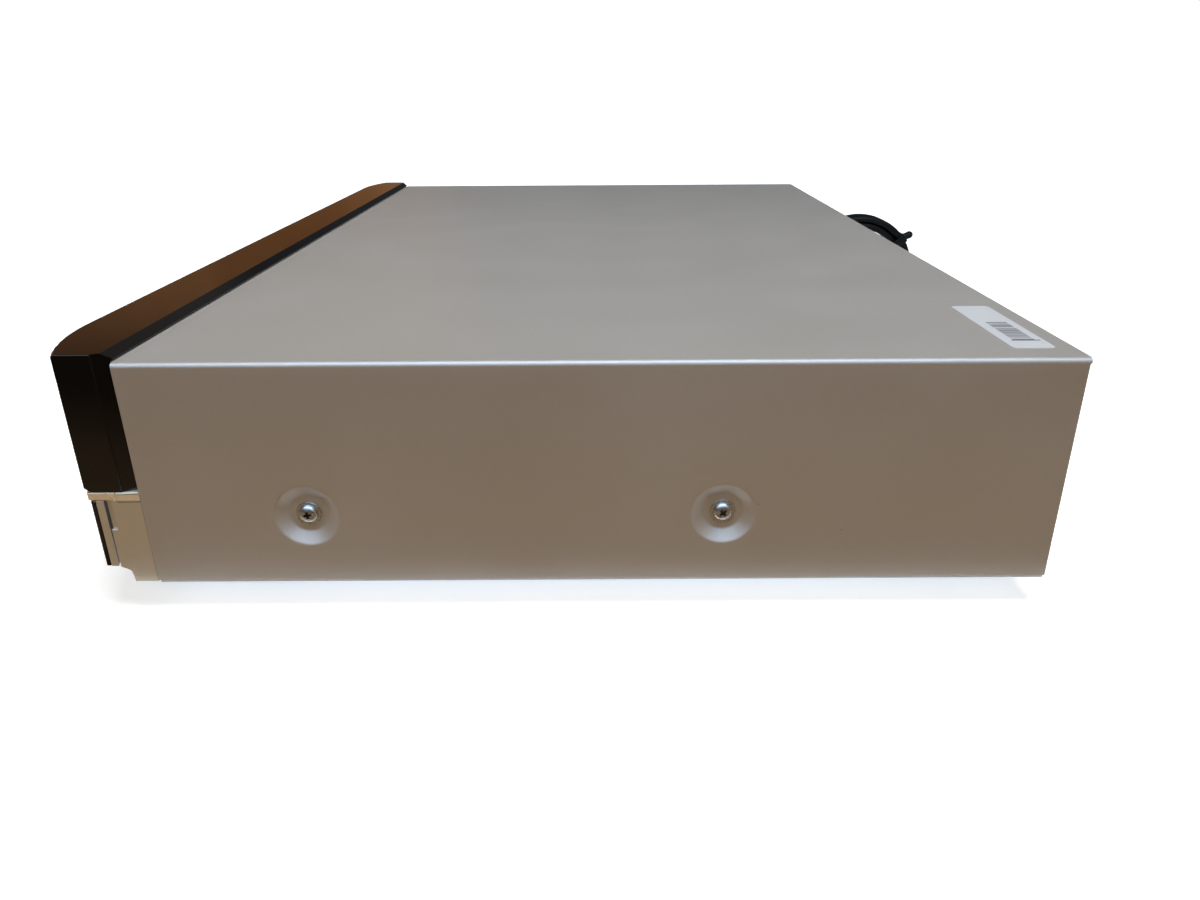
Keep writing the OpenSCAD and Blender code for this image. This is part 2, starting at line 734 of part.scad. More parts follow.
module jack_blocks() color([0.12, 0.12, 0.12]) from_lid() {
    block([jack_x - 8, jack_x + 6 * rca_pitch + 8], [panel_back - jack_block_d, panel_back],
          [board_top, jack_z + 9]);
    block([front_jack_x - 7, front_jack_x + 2 * rca_pitch + 7],
          [panel_face + panel_t, frame_y[0]], [front_jack_z - 7, front_jack_z + 7]);
}

module rca_shells() color("silver") from_lid() {
    on_rear(concat(yellow_at, white_at, red_at, green_at, blue_at)) rca_shell();
    for (i = [0:2]) on_front(i) rca_shell();
}

module yellow_inserts() color("gold") from_lid() {
    on_rear(yellow_at) rca_insert(sheet);
    on_front(0) rca_insert(panel_t);
}

module white_inserts() color("white") from_lid() {
    on_rear(white_at) rca_insert(sheet);
    on_front(1) rca_insert(panel_t);
}

module red_inserts() color("red") from_lid() {
    on_rear(red_at) rca_insert(sheet);
    on_front(2) rca_insert(panel_t);
}

module green_insert() color("green") from_lid() on_rear(green_at) rca_insert(sheet);

module blue_insert() color("blue") from_lid() on_rear(blue_at) rca_insert(sheet);

module s_video_socket() color([0.15, 0.15, 0.15]) from_lid() on_rear([s_video_at]) difference() {
    union() {
        translate([0, 0, -sheet]) cylinder(r = 6, h = sheet + eps);
        cylinder(r = 7.4, h = 1.2);
    }
    for (a = [45, 135, 225, 315]) rotate(a) translate([2.4, 0, -0.2]) cylinder(r = 0.6, h = 3);
}

module tuner_module() color("lightgray") from_lid() difference() {
    union() {
        block([aerial_x - 15, aerial_x + 15], [panel_back - 46, panel_back], [board_top, aerial_z + 9]);
        for (z = [aerial_z, aerial_z - aerial_drop]) {
            rod_y(aerial_r, aerial_x, [panel_back - eps, panel_y + aerial_len], z);
            // hexagon nut
            translate([aerial_x, panel_y, z]) rotate([-90, 0, 0])
                cylinder(r = aerial_r + 1.9, h = 2.4, $fn = 6);
        }
    }
    for (z = [aerial_z, aerial_z - aerial_drop])
        rod_y(1, aerial_x, [panel_y + 3, panel_y + aerial_len + 1], z);
}

// ---- Boards ----

module main_board() color("darkgreen") from_lid() {
    block(main_x, main_y, [board_z, board_top]);
    block(rear_board_x, [main_y[1] - eps, panel_back - 0.5], [board_z, board_top]);
    for (p = [[0.3, 60], [0.55, 110], [0.3, 150]])
        translate([main_x[0] + p[0] * (main_x[1] - main_x[0]), p[1], board_top - eps])
            translate([-11, -11, 0]) cube([22, 22, 2.6]);
}

module power_board() color("tan") from_lid() {
    capacitor_r = 0.17 * power_d;
    capacitor_h = 26;
    sink_x = power_x[0] + 76;
    block(power_x, power_y, [board_z, board_top]);
    for (i = [0:3])
        rod_z(capacitor_r, sink_x + 25 + i * 16, power_y[0] + 0.34 * power_d,
              [board_top - eps, board_top + capacitor_h - 4 * i]);
    // heat sink
    block([sink_x, sink_x + 12], [power_y[0] + 0.15 * power_d, power_y[1] - 0.2 * power_d],
          [board_top - eps, board_top + 24]);
}

module transformer() color("goldenrod") from_lid() {
    core_w = 46;
    core_h = 30;
    plate = 0.2 * power_d;
    x = power_x[0] + 12;
    y = [power_y[0] + 0.1 * power_d, power_y[1] - 0.1 * power_d];
    block([x, x + core_w], [y[0], y[0] + plate], [board_top + 3, board_top + 3 + core_h]);
    block([x, x + core_w], [y[1] - plate, y[1]], [board_top + 3, board_top + 3 + core_h]);
    // winding
    block([x + 6, x + core_w - 6], [y[0] + plate / 2, y[1] - plate / 2], [board_top, board_top + core_h]);
}

// ---- Cassette deck ----

module deck_plate() color("lightgray") from_lid() difference() {
    union() {
        block([slot_x - bracket_x - 1.2, slot_x + bracket_x + 1.2], deck_y, [deck_z - 1.2, deck_z]);
        for (side = [-1, 1]) translate([slot_x + side * (bracket_x + 0.6), 0, 0])
            block([-0.6, 0.6], [deck_y[0], holder_y[1] + carriage_travel + 6], [deck_z - 1.2, 66]);
        for (x = [slot_x - bracket_x + 6, slot_x + bracket_x - 6], y = [deck_y[0] + 8, deck_y[1] - 8])
            rod_z(4, x, y, [0, deck_z - 0.6]);
        for (side = [-1, 1]) rod_z(1.5, slot_x + side * reel_gap, reel_y, [deck_z - 1, deck_z + 9]);
        rod_z(4, capstan_at[0], capstan_at[1], [deck_z - 1, deck_z + 12]);
        // tape guides
        for (p = [[-40, 158], [40, 178], [-44, 176]])
            rod_z(2, slot_x + p[0], p[1], [deck_z - 1, deck_z + 22]);
    }
    rod_z(1.5 + run_fit, capstan_at[0], capstan_at[1], [deck_z - 3, deck_z + 13]);
    // slots for the carriage's pins
    for (side = [-1, 1], y = slide_pins)
        translate([slot_x + side * (bracket_x + 0.6), 0, 0])
            block([-2, 2], [y - 1.7, y + carriage_travel + 1.7], [slide_pin_z - 1.7, slide_pin_z + 1.7]);
}

module cassette_carriage() color("gray") from_lid() {
    difference() {
        union() {
            for (side = [-1, 1]) translate([slot_x + side * (slide_x + 0.5), 0, 0])
                block([-0.5, 0.5], [holder_y[0] - 2, holder_y[1]], [26, 64]);
            block([slot_x - slide_x - 1, slot_x + slide_x + 1], [holder_y[1] - 16, holder_y[1]], [63, 64]);
        }
        for (side = [-1, 1], y = drop_pins)
            translate([slot_x + side * (slide_x + 0.5), 0, 0])
                block([-2, 2], [y - 1.4, y + 1.4], [drop_pin_z - holder_travel - 1.4, drop_pin_z + 1.4]);
    }
    for (side = [-1, 1], y = slide_pins)
        translate([slot_x + side * (slide_x + 1), y, slide_pin_z])
            rotate([0, 90 * side, 0]) translate([0, 0, -0.3]) cylinder(r = 1.5, h = 2.6);
}

module cassette_holder() color("silver") from_lid() {
    difference() {
        union() {
            for (side = [-1, 1]) translate([slot_x + side * (holder_x + sheet / 2), 0, 0])
                block([-sheet / 2, sheet / 2], holder_y, [holder_z - sheet, holder_z + tape_h + 1.5]);
            for (side = [-1, 1]) translate([slot_x + side * (holder_x - 6.5), 0, 0])
                block([-7, 7], holder_y, [holder_z - sheet, holder_z]);
            block([slot_x - holder_x - sheet, slot_x + holder_x + sheet], holder_y,
                  [holder_z + tape_h + 0.7, holder_z + tape_h + 1.5]);
        }
        block([slot_x - 70, slot_x - 8], [holder_y[0] + 14, holder_y[1] - 14],
              [holder_z + tape_h - 2, holder_z + tape_h + 3]);
        block([slot_x + 8, slot_x + 70], [holder_y[0] + 14, holder_y[1] - 14],
              [holder_z + tape_h - 2, holder_z + tape_h + 3]);
    }
    for (side = [-1, 1], y = drop_pins)
        translate([slot_x + side * (holder_x + sheet), y, drop_pin_z])
            rotate([0, 90 * side, 0]) translate([0, 0, -0.3]) cylinder(r = 1.2, h = 1.9);
}

// Leans a piece with the drum's axis
module on_drum() {
    translate(drum_at) rotate([-drum_tilt, 0, 0]) children();
}

module drum_base() color("silver") from_lid() difference() {
    union() {
        on_drum() cylinder(r = drum_r, h = drum_h);
        rod_z(20, drum_at[0], drum_at[1], [deck_z, drum_at[2] + drum_h / 2]);
    }
    on_drum() translate([0, 0, 2]) cylinder(r = 2 + run_fit, h = drum_h);
}

module head_drum() color("lightgray") from_lid() on_drum() {
    difference() {
        translate([0, 0, drum_h + 0.3]) cylinder(r = drum_r, h = drum_h);
        translate([0, 0, drum_h * 2 - 2]) difference() {
            cylinder(r = drum_r - 4, h = 4);
            translate([0, 0, -1]) cylinder(r = 8, h = 6);
        }
    }
    translate([0, 0, 2.3]) cylinder(r = 2, h = drum_h);
}

module capstan() color("lightgray") from_lid() {
    rod_z(1.5, capstan_at[0], capstan_at[1], [9, deck_z + 26]);
    rod_z(22, capstan_at[0], capstan_at[1], [4, 11]);
}

// A reel turntable: a disc, a hub and a spindle with three fins
module tape_reel() difference() {
    union() {
        translate([0, 0, 0.3]) cylinder(r = 17, h = 2);
        cylinder(r = 6, h = 8);
        cylinder(r = 4.2, h = 17);
        for (a = [0, 120, 240]) rotate(a) translate([2, -0.6, 8]) cube([3.6, 1.2, 8]);
    }
    translate([0, 0, -1]) cylinder(r = 1.5 + run_fit, h = 11);
    translate([0, 0, -1]) cylinder(r = 8, h = 1.3);
}

module supply_reel() color("white") from_lid()
    translate([slot_x - reel_gap, reel_y, deck_z]) tape_reel();

module takeup_reel() color("white") from_lid()
    translate([slot_x + reel_gap, reel_y, deck_z]) tape_reel();

module loading_motor() color("dimgray") from_lid() {
    x = slot_x - 78;
    block([x - 8, x + 8], [drum_at[1] - 20, drum_at[1] + 12], [deck_z, deck_z + 5]);
    rod_y(9, x, [drum_at[1] - 18, drum_at[1] + 10], deck_z + 12);
    rod_y(2.5, x, [drum_at[1] - 26, drum_at[1] - 17], deck_z + 12);
}

// ---- Disc drive ----

// A flat spur gear; its teeth stand half a tooth high above and below the pitch circle
module pinion(r, teeth, h, bore) {
    root = r - 0.9;
    tip = r + 0.6;
    linear_extrude(h) difference() {
        union() {
            circle(r = root);
            for (i = [0:teeth - 1]) rotate(i * 360 / teeth)
                polygon([[root - 0.5, -0.75], [root, -0.75], [tip, -0.3],
                         [tip, 0.3], [root, 0.75], [root - 0.5, 0.75]]);
        }
        circle(r = bore);
    }
}

// Rack teeth that point to -X from a pitch line at X = 0, with a gap centred at Y = 0
module rack_teeth(first, last, step, h) {
    linear_extrude(h) for (i = [first:last])
        translate([0, (i + 0.5) * step])
            polygon([[1.2, -0.75], [0.9, -0.75], [-0.6, -0.3], [-0.6, 0.3], [0.9, 0.75], [1.2, 0.75]]);
}

module drive_base() color([0.13, 0.13, 0.14]) from_lid() difference() {
    x0 = drive_x - drive_edge;
    x1 = drive_x + drive_edge;
    wall = 2.5;
    union() {
        block([x0, x1], drive_y, [drive_z, drive_z + 2.5]);
        for (x = [x0, x1 - wall]) block([x, x + wall], drive_y, [drive_z, bridge_z - 1]);
        // rails below and above the tray's tongues
        for (side = [-1, 1]) {
            xr = drive_x + side * (drive_edge - wall / 2);
            inner = drive_edge - wall / 2 - tray_w / 2 - 0.6;
            for (z = [[rail_z, tray_z - 0.3], [tray_z + 3.9, tray_z + 5.6]])
                block([side > 0 ? xr - inner : xr, side > 0 ? xr : xr + inner],
                      [drive_y[0] + 2, drive_y[1] - 4], z);
        }
        block([x0, x1], [drive_y[0], drive_y[0] + 18], [drive_z, gear_z - 1]);
        block([x0, x1], [drive_y[1] - 6, drive_y[1]], [drive_z, bridge_z - 1]);
        rod_z(2, tray_gear_at[0], tray_gear_at[1], [gear_z - 2, gear_z + gear_h - 0.3]);
        for (x = [traverse_x[0] - 7, traverse_x[1] + 0.4])
            block([x, x + 6.6], [traverse_y[1] - 5, traverse_y[1] + 5], [drive_z + 1, traverse_z + 5]);
    }
    block([traverse_x[0] - 1, traverse_x[1] + 1], [traverse_y[0] - 4, traverse_y[1] - 5 - eps],
          [drive_z - 1, drive_z + 4]);
    // the front rib is hollow in its middle
    block([x0 + tray_w / 2 - 20, x1 - tray_w / 2 + 20], [drive_y[0] - 1, drive_y[0] + 12],
          [drive_z + 6, gear_z - 5]);
    rod_x(2 + run_fit, [traverse_x[0] - 8, traverse_x[1] + 8], traverse_y[1], traverse_z + 1);
}

module disc_tray() color([0.1, 0.1, 0.11]) from_lid() {
    well_r = turntable_r + 5;
    difference() {
        union() {
            block([drive_x - tray_w / 2, drive_x + tray_w / 2], tray_y, [tray_z, tray_top]);
            // tongues that run between the drive's rails
            block([drive_x - tray_w / 2 - 4, drive_x + tray_w / 2 + 4], [8, tray_y[1]],
                  [tray_z, tray_z + 3.6]);
        }
        translate([drive_x, disc_y, tray_top - 2.4]) cylinder(r = disc_r, h = 4, $fn = 128);
        translate([drive_x, disc_y, tray_top - 4]) cylinder(r = 41, h = 4, $fn = 128);
        // well for the turntable, open to the rear for the laser
        rod_z(well_r, drive_x, disc_y, [tray_z - 1, tray_top + 1]);
        block([drive_x - well_r, drive_x + well_r], [disc_y, tray_y[1] + 1], [tray_z - 1, tray_top + 1]);
        // groove for the pinion
        block([groove_x, rack_x + rack_bar], [tray_y[0] + 3, tray_y[1] + 1], [tray_z - 1, groove_z]);
    }
    // rack in the groove
    step = 2 * PI * tray_gear_r / gear_teeth;
    block([rack_x + 0.9, rack_x + rack_bar], [0, 160], [gear_z, groove_z + eps]);
    translate([rack_x, tray_gear_at[1], gear_z]) rack_teeth(-4, 46, step, gear_h);
}

module tray_front() color([0.09, 0.07, 0.07]) from_lid() difference() {
    w = tray_front_w / 2;
    block([drive_x - w, drive_x + w], [0.1 - front_bow, tray_y[0]],
          [tray_front_z, tray_front_z + tray_front_h]);
    translate([drive_x - w - 1, 0.1 - front_bow, tray_front_z]) rotate([90, 0, 90])
        linear_extrude(tray_front_w + 2) {
            edge_waste(0.8, -1);
            translate([0, tray_front_h]) edge_waste(0.8, 1);
        }
}

module tray_gear() color("white") from_lid()
    translate([tray_gear_at[0], tray_gear_at[1], gear_z])
        pinion(tray_gear_r, gear_teeth, gear_h, 2 + run_fit);

module clamper_bridge() color("lightgray") from_lid() difference() {
    union() {
        block([drive_x - drive_edge, drive_x + drive_edge], [disc_y - bridge_d / 2, disc_y + bridge_d / 2],
              [bridge_z, bridge_z + 1]);
        for (side = [-1, 1]) translate([drive_x + side * (drive_edge - 1.2), disc_y, 0])
            block([-1.2, 1.2], [-bridge_d / 2, bridge_d / 2], [bridge_z - 1, bridge_z + 0.5]);
        rod_z(18, drive_x, disc_y, [bridge_z, bridge_z + 1]);
    }
    rod_z(10.6, drive_x, disc_y, [bridge_z - 1, bridge_z + 2]);
}

module disc_clamper() color("black") from_lid() {
    rod_z(14, drive_x, disc_y, [tray_top + 0.5, bridge_z - 0.8]);
    rod_z(10, drive_x, disc_y, [bridge_z - 1, bridge_z + 2]);
    rod_z(13, drive_x, disc_y, [bridge_z + 1.3, bridge_z + 2.3]);
}

module traverse() color("gray") from_lid() difference() {
    union() {
        block(traverse_x, traverse_y, [traverse_z, traverse_z + 2]);
        rod_z(12, drive_x, disc_y, [traverse_z + 1, traverse_z + 8.5]);
        for (y = [[rod_y0, rod_y0 + 4], [rod_y1 - 5, rod_y1]], x = [rod_x0, rod_x1])
            block([x - 3.5, x + 3.5], y, [traverse_z + 1, rod_z0 + 2.5]);
        rod_z(1.5, sled_gear_at[0], sled_gear_at[1], [traverse_z + 1, traverse_z + 7.5]);
        rod_x(2, [traverse_x[0] - 6, traverse_x[1] + 6], traverse_y[1], traverse_z + 1);
        block(traverse_x, [traverse_y[1] - eps, traverse_y[1] + 3], [traverse_z, traverse_z + 2]);
    }
    rod_z(1 + run_fit, drive_x, disc_y, [traverse_z + 3, traverse_z + 10]);
    for (x = [rod_x0, rod_x1]) rod_y(rod_r + 0.02, x, [rod_y0 - 1, rod_y1 + 1], rod_z0);
}

module turntable() color([0.2, 0.2, 0.2]) from_lid() {
    rod_z(turntable_r, drive_x, disc_y, [tray_top - 3.7, tray_top - 1.5]);
    translate([drive_x, disc_y, tray_top - 1.5 - eps]) cylinder(r1 = 7.4, r2 = 5, h = 1.4);
    rod_z(5, drive_x, disc_y, [traverse_z + 9, tray_top - 3]);
    rod_z(1, drive_x, disc_y, [traverse_z + 3.5, tray_top - 3]);
}

module guide_rods() color("silver") from_lid()
    for (x = [rod_x0, rod_x1]) rod_y(rod_r, x, [rod_y0, rod_y1], rod_z0);

module laser_sled() color([0.25, 0.25, 0.27]) from_lid() {
    difference() {
        union() {
            block([rod_x0 - 4, rod_x1 + 4], sled_y, [rod_z0 - 2.8, rod_z0 + 3]);
            rod_z(4, drive_x, sled_y[0] + 5, [rod_z0, rod_z0 + 4]);
            block([rod_x1 + 3, sled_rack_x - 1], sled_y, [rod_z0 - 1, rod_z0 + 1]);
        }
        for (x = [rod_x0, rod_x1]) rod_y(rod_r + run_fit, x, [sled_y[0] - 1, sled_y[1] + 1], rod_z0);
        rod_z(2.6, drive_x, sled_y[0] + 5, [rod_z0 + 3.2, rod_z0 + 5]);
    }
    mirrored_rack();
}

// The sled's rack faces +X, towards its pinion
module mirrored_rack() {
    step = 2 * PI * sled_gear_r / sled_gear_teeth;
    block([sled_rack_x - 3.5, sled_rack_x - 0.9], [sled_y[0] - 2, 112], [rod_z0 - 1, rod_z0 + 1]);
    translate([sled_rack_x, sled_gear_at[1], rod_z0 - 1]) mirror([1, 0, 0])
        rack_teeth(-13, 0, step, 2);
}

module sled_gear() color("white") from_lid()
    translate([sled_gear_at[0], sled_gear_at[1], traverse_z + 3])
        pinion(sled_gear_r, sled_gear_teeth, 4, 1.5 + run_fit);

// ---- Mains lead ----

module cord_bushing() color("black") difference() {
    translate([cord_exit_x, lid_y + panel_y, cord_exit_z]) rotate([-90, 0, 0]) {
        translate([0, 0, -sheet - 2]) cylinder(r = cord_hole_r - 0.05, h = sheet + 2 + eps);
        cylinder(r = cord_hole_r + 2, h = 2);
        translate([0, 0, 2 - eps]) cylinder(r1 = cord_hole_r - 1, r2 = cord_r + 0.9, h = bushing_len - 2);
    }
    for (i = [0:3])
        translate([cord_exit_x, lid_y + panel_y + 8 + i * 4, cord_exit_z]) rotate([-90, 0, 0]) difference() {
            cylinder(r = cord_hole_r + 1, h = 1.2);
            translate([0, 0, -1]) cylinder(r = cord_r + 0.5, h = 4);
        }
}

// One ring of a swept tube: sides points round a point, square to a direction
function ring(at, dir, r, sides) =
    let (
        d = dir / norm(dir),
        flat = norm([d[0], d[1]]) > 0.2 ? [-d[1], d[0], 0] : [0, 1, 0] - d * d[1],
        u = flat / norm(flat),
        v = cross(d, u)
    )
    [for (i = [0:sides - 1]) at + r * (cos(360 * i / sides) * u + sin(360 * i / sides) * v)];

// A point of a smooth curve through a list of points, at t between item i and the next
function curve_point(list, i, t) =
    let (
        a = list[max(i - 1, 0)],
        b = list[i],
        c = list[i + 1],
        d = list[min(i + 2, len(list) - 1)]
    )
    0.5 * (2 * b + (c - a) * t + (2 * a - 5 * b + 4 * c - d) * t * t + (3 * b - a - 3 * c + d) * t * t * t);

function curve(list) = concat(
    [for (i = [0:len(list) - 2], t = [0, 0.5]) curve_point(list, i, t)],
    [list[len(list) - 1]]
);

// A tube swept along a list of points
module tube(points, r, start, end, sides = 10) {
    line = curve(points);
    last = len(line) - 1;
    rings = [for (i = [0:last])
        ring(line[i], i == 0 ? start : i == last ? end : line[i + 1] - line[i - 1], r, sides)];
    verts = [for (round = rings, p = round) p];
    walls = [for (i = [0:last - 1], j = [0:sides - 1])
        let (k = (j + 1) % sides) [i * sides + j, (i + 1) * sides + j, (i + 1) * sides + k, i * sides + k]];
    caps = [[for (j = [0:sides - 1]) j], [for (j = [sides - 1:-1:0]) last * sides + j]];
    polyhedron(points = verts, faces = concat(walls, caps), convexity = 6);
}

module power_cord() color("black") {
    tube(lead_points, cord_r, [0, 1, 0], [0, 0, 1]);
    tube(tail_points, cord_r, [0.2, 0.9, -0.4], [1, 0, 0]);
}

// The coil stands on its edge behind the rear panel, its axis along X
module on_coil() {
    translate(coil_at) rotate([0, 90, 0]) children();
}

module cord_coil() color("black") on_coil()
    rotate_extrude($fn = 128) translate([coil_inner, -coil_w / 2]) square([coil_r - coil_inner, coil_w]);

module cord_tie() color("black") {
    on_coil() rotate(tie_angle - 4) rotate_extrude(angle = 8, $fn = 128) difference() {
        translate([coil_inner - 1, -coil_w / 2 - 1]) square([coil_r - coil_inner + 2, coil_w + 2]);
        translate([coil_inner, -coil_w / 2]) square([coil_r - coil_inner, coil_w]);
    }
    // twisted end of the tie
    translate(coil_at + (coil_r + 0.6) * [0, sin(tie_angle), -cos(tie_angle)] + [3, 0, 0])
        rotate([-68, 0, 0]) {
            cylinder(r = 2.4, h = tie_tail);
            translate([0, 0, tie_tail]) sphere(r = 2.4);
        }
}

module plug() color("black") {
    x = tail_points[len(tail_points) - 1][0];
    y = tail_points[len(tail_points) - 1][1];
    body_w = 22;
    blade_y = 6.35;
    blade_t = 1.5;
    blade_h = 6.4;
    rod_x(cord_r + 0.8, [x, x + 12], y, plug_z);
    difference() {
        block([x + 11, x + 34], [y - body_w / 2, y + body_w / 2], [0.3, 2 * plug_z - 0.3]);
        // the upper edges step in for the fingers
        for (side = [-1, 1]) translate([0, y + side * (body_w / 2 + 2), 0])
            block([x + 10, x + 35], [-4, 4], [plug_z + 4, plug_z + 9]);
    }
    for (side = [-1, 1]) translate([0, y + side * blade_y, plug_z])
        block([x + 33, x + 51], [-blade_t / 2, blade_t / 2], [-blade_h / 2, blade_h / 2]);
}

top_cover();
bottom_chassis();
rear_panel();
feet();
case_screws();
asset_label();
front_frame();
upper_fascia();
control_panel();
control_door();
door_trim();
cassette_flap();
display_window();
display_board();
power_button();
eject_button();
open_close_button();
play_button();
rewind_button();
forward_button();
record_button();
channel_rocker();
jack_blocks();
rca_shells();
yellow_inserts();
white_inserts();
red_inserts();
green_insert();
blue_insert();
s_video_socket();
tuner_module();
main_board();
power_board();
transformer();
deck_plate();
cassette_carriage();
cassette_holder();
drum_base();
head_drum();
capstan();
supply_reel();
takeup_reel();
loading_motor();
drive_base();
disc_tray();
tray_front();
tray_gear();
clamper_bridge();
disc_clamper();
traverse();
turntable();
guide_rods();
laser_sled();
sled_gear();
cord_bushing();
power_cord();
cord_coil();
cord_tie();
plug();
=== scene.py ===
import json
import bpy
import bmesh
from math import cos, pi, radians, sin
from mathutils import Matrix, Vector


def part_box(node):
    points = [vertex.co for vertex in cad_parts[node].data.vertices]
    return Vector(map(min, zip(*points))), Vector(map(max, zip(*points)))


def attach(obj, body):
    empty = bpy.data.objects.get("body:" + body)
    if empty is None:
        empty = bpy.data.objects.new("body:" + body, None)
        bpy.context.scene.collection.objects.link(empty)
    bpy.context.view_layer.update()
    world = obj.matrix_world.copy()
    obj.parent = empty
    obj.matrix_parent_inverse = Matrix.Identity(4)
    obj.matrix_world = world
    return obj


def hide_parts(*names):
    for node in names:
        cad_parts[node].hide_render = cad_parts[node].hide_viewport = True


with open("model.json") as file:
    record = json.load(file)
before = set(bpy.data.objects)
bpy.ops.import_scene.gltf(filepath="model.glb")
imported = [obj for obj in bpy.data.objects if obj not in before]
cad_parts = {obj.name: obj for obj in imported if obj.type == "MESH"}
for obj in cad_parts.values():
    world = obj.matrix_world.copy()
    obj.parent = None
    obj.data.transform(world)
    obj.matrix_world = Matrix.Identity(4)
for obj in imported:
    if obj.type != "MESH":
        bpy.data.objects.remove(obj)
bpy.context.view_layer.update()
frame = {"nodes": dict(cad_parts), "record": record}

# A disc and cassette player with a folded lid. Pieces are drawn in millimetres, measured from
# the middle of the lid's lower front edge, and are set into the frame when they are finished.
lidLow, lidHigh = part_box("top_cover")
mm = 0.001
toFrame = Matrix.Translation((0, lidLow.y, lidLow.z)) @ Matrix.Scale(mm, 4)
halfW = lidHigh.x / mm
lidDepth = (lidHigh.y - lidLow.y) / mm
lidHeight = (lidHigh.z - lidLow.z) / mm

bodyOf = {node: body for body, nodes in frame["record"]["behaviour"]["bodies"].items()
          for node in nodes}
slotOf = {part["node"]: part["material_slot"] for part in frame["record"]["subparts"]}

scene = bpy.context.scene
scene.view_settings.view_transform = "Standard"


view = {
    "at": (455.8, 139.0, 146.0),  # millimetres from the lid's lower front edge
    "pitch": 23.03,
    "roll": -0.33,
    "lens": 26.58,
    "sensor": 36,
}


def placeCamera():
    camera = bpy.data.objects.new("camera", bpy.data.cameras.new("camera"))
    scene.collection.objects.link(camera)
    camera.data.lens = view["lens"]
    camera.data.sensor_width = view["sensor"]
    camera.data.clip_start = 0.01
    pitch = radians(view["pitch"])
    roll = radians(view["roll"])
    ahead = Vector((-cos(pitch), 0, -sin(pitch)))
    flatRight = Vector((0, 1, 0))
    flatUp = flatRight.cross(ahead)
    right = flatRight * cos(roll) + flatUp * sin(roll)
    up = flatUp * cos(roll) - flatRight * sin(roll)
    turn = Matrix((right, up, -ahead)).transposed().to_4x4()
    camera.matrix_world = Matrix.Translation(toFrame @ Vector(view["at"])) @ turn
    scene.camera = camera


placeCamera()
print("camera placed")


class Wire:
    # a node's output; expressions on wires add Math nodes
    def __init__(self, tree, socket=None):
        self.tree = tree
        self.socket = socket

    def node(self, kind, settings=None, inputs=None, output=0):
        made = self.tree.nodes.new(kind)
        for name, value in (settings or {}).items():
            setattr(made, name, value)
        for name, value in (inputs or {}).items():
            if isinstance(value, Wire):
                self.tree.links.new(value.socket, made.inputs[name])
            else:
                made.inputs[name].default_value = value
        return Wire(self.tree, made.outputs[output])

    def maths(self, operation, first, second=0.0):
        return self.node("ShaderNodeMath", {"operation": operation}, {0: first, 1: second})

    def __add__(self, other):
        return self.maths("ADD", self, other)

    def __sub__(self, other):
        return self.maths("SUBTRACT", self, other)

    def __rsub__(self, other):
        return self.maths("SUBTRACT", other, self)

    def __mul__(self, other):
        return self.maths("MULTIPLY", self, other)

    def __truediv__(self, other):
        return self.maths("DIVIDE", self, other)

    def __gt__(self, other):
        return self.maths("GREATER_THAN", self, other)

    def __lt__(self, other):
        return self.maths("LESS_THAN", self, other)

    __radd__ = __add__
    __rmul__ = __mul__

    def smoothStep(self, low, high):
        return self.node("ShaderNodeMapRange", {"interpolation_type": "SMOOTHSTEP"},
                         {0: self, 1: low, 2: high, 3: 0.0, 4: 1.0})

    def mixed(self, first, second):
        # a colour between two, by this wire
        return self.node("ShaderNodeMix", {"data_type": "RGBA"},
                         {0: self, 6: first, 7: second}, output=2)


def colour(shade, factor=1.0):
    return (shade[0] * factor, shade[1] * factor, shade[2] * factor, 1)


class Finish:
    # a material under construction: its shader, its place on the object and its patterns
    def __init__(self, name, **fixed):
        self.material = bpy.data.materials.new(name)
        self.material.use_nodes = True
        self.tree = self.material.node_tree
        self.shader = self.tree.nodes["Principled BSDF"]
        self.start = Wire(self.tree)
        self.place = self.start.node("ShaderNodeTexCoord", output="Object")
        for name, value in fixed.items():
            self.shader.inputs[name.replace("_", " ")].default_value = value

    def noise(self, scale, detail=2.0, stretch=(1, 1, 1)):
        stretched = self.place
        if stretch != (1, 1, 1):
            stretched = self.start.node("ShaderNodeMapping", None, {0: self.place, 3: stretch})
        return self.start.node("ShaderNodeTexNoise", None,
                               {"Vector": stretched, "Scale": scale, "Detail": detail})

    def specks(self, scale, size):
        # 1 inside small scattered dots
        cells = self.start.node("ShaderNodeTexVoronoi", None,
                                {"Vector": self.place, "Scale": scale})
        return cells < size

    def axis(self, which):
        return self.start.node("ShaderNodeSeparateXYZ", None, {0: self.place}, output=which)

    def drive(self, socket, wire):
        self.tree.links.new(wire.socket, self.shader.inputs[socket])

    def bump(self, height, strength, distance):
        self.drive("Normal", self.start.node("ShaderNodeBump", None, {
            "Height": height, "Strength": strength, "Distance": distance}))


lidCoat = {
    "grain": 3000,
    "mottle": 24,
    "roughness": 0.42,
    "dirt": (70, 0.018),  # how many specks, and their size
    "marks": 90,
}


def lidPaint(name, shade, metallic):
    finish = Finish(name, Metallic=metallic, Specular_IOR_Level=0.3)
    grain = finish.noise(lidCoat["grain"], 1.0)
    mottle = finish.noise(lidCoat["mottle"], 3.0)
    flake = grain.smoothStep(0.30, 0.72) * 0.75 + mottle.smoothStep(0.3, 0.7) * 0.25
    base = flake.mixed(colour(shade, 0.95), colour(shade, 1.05))
    dirt = finish.specks(*lidCoat["dirt"])
    marks = finish.noise(lidCoat["marks"], 4.0, stretch=(1, 0.06, 1)).smoothStep(0.70, 0.78)
    base = (dirt * 0.6).mixed(base, colour(shade, 0.25))
    base = (marks * 0.12).mixed(base, colour(shade, 1.5))
    finish.drive("Base Color", base)
    finish.drive("Roughness", lidCoat["roughness"] - 0.05 + mottle * 0.1)
    finish.bump(grain, 0.045, 0.00003)
    return finish.material


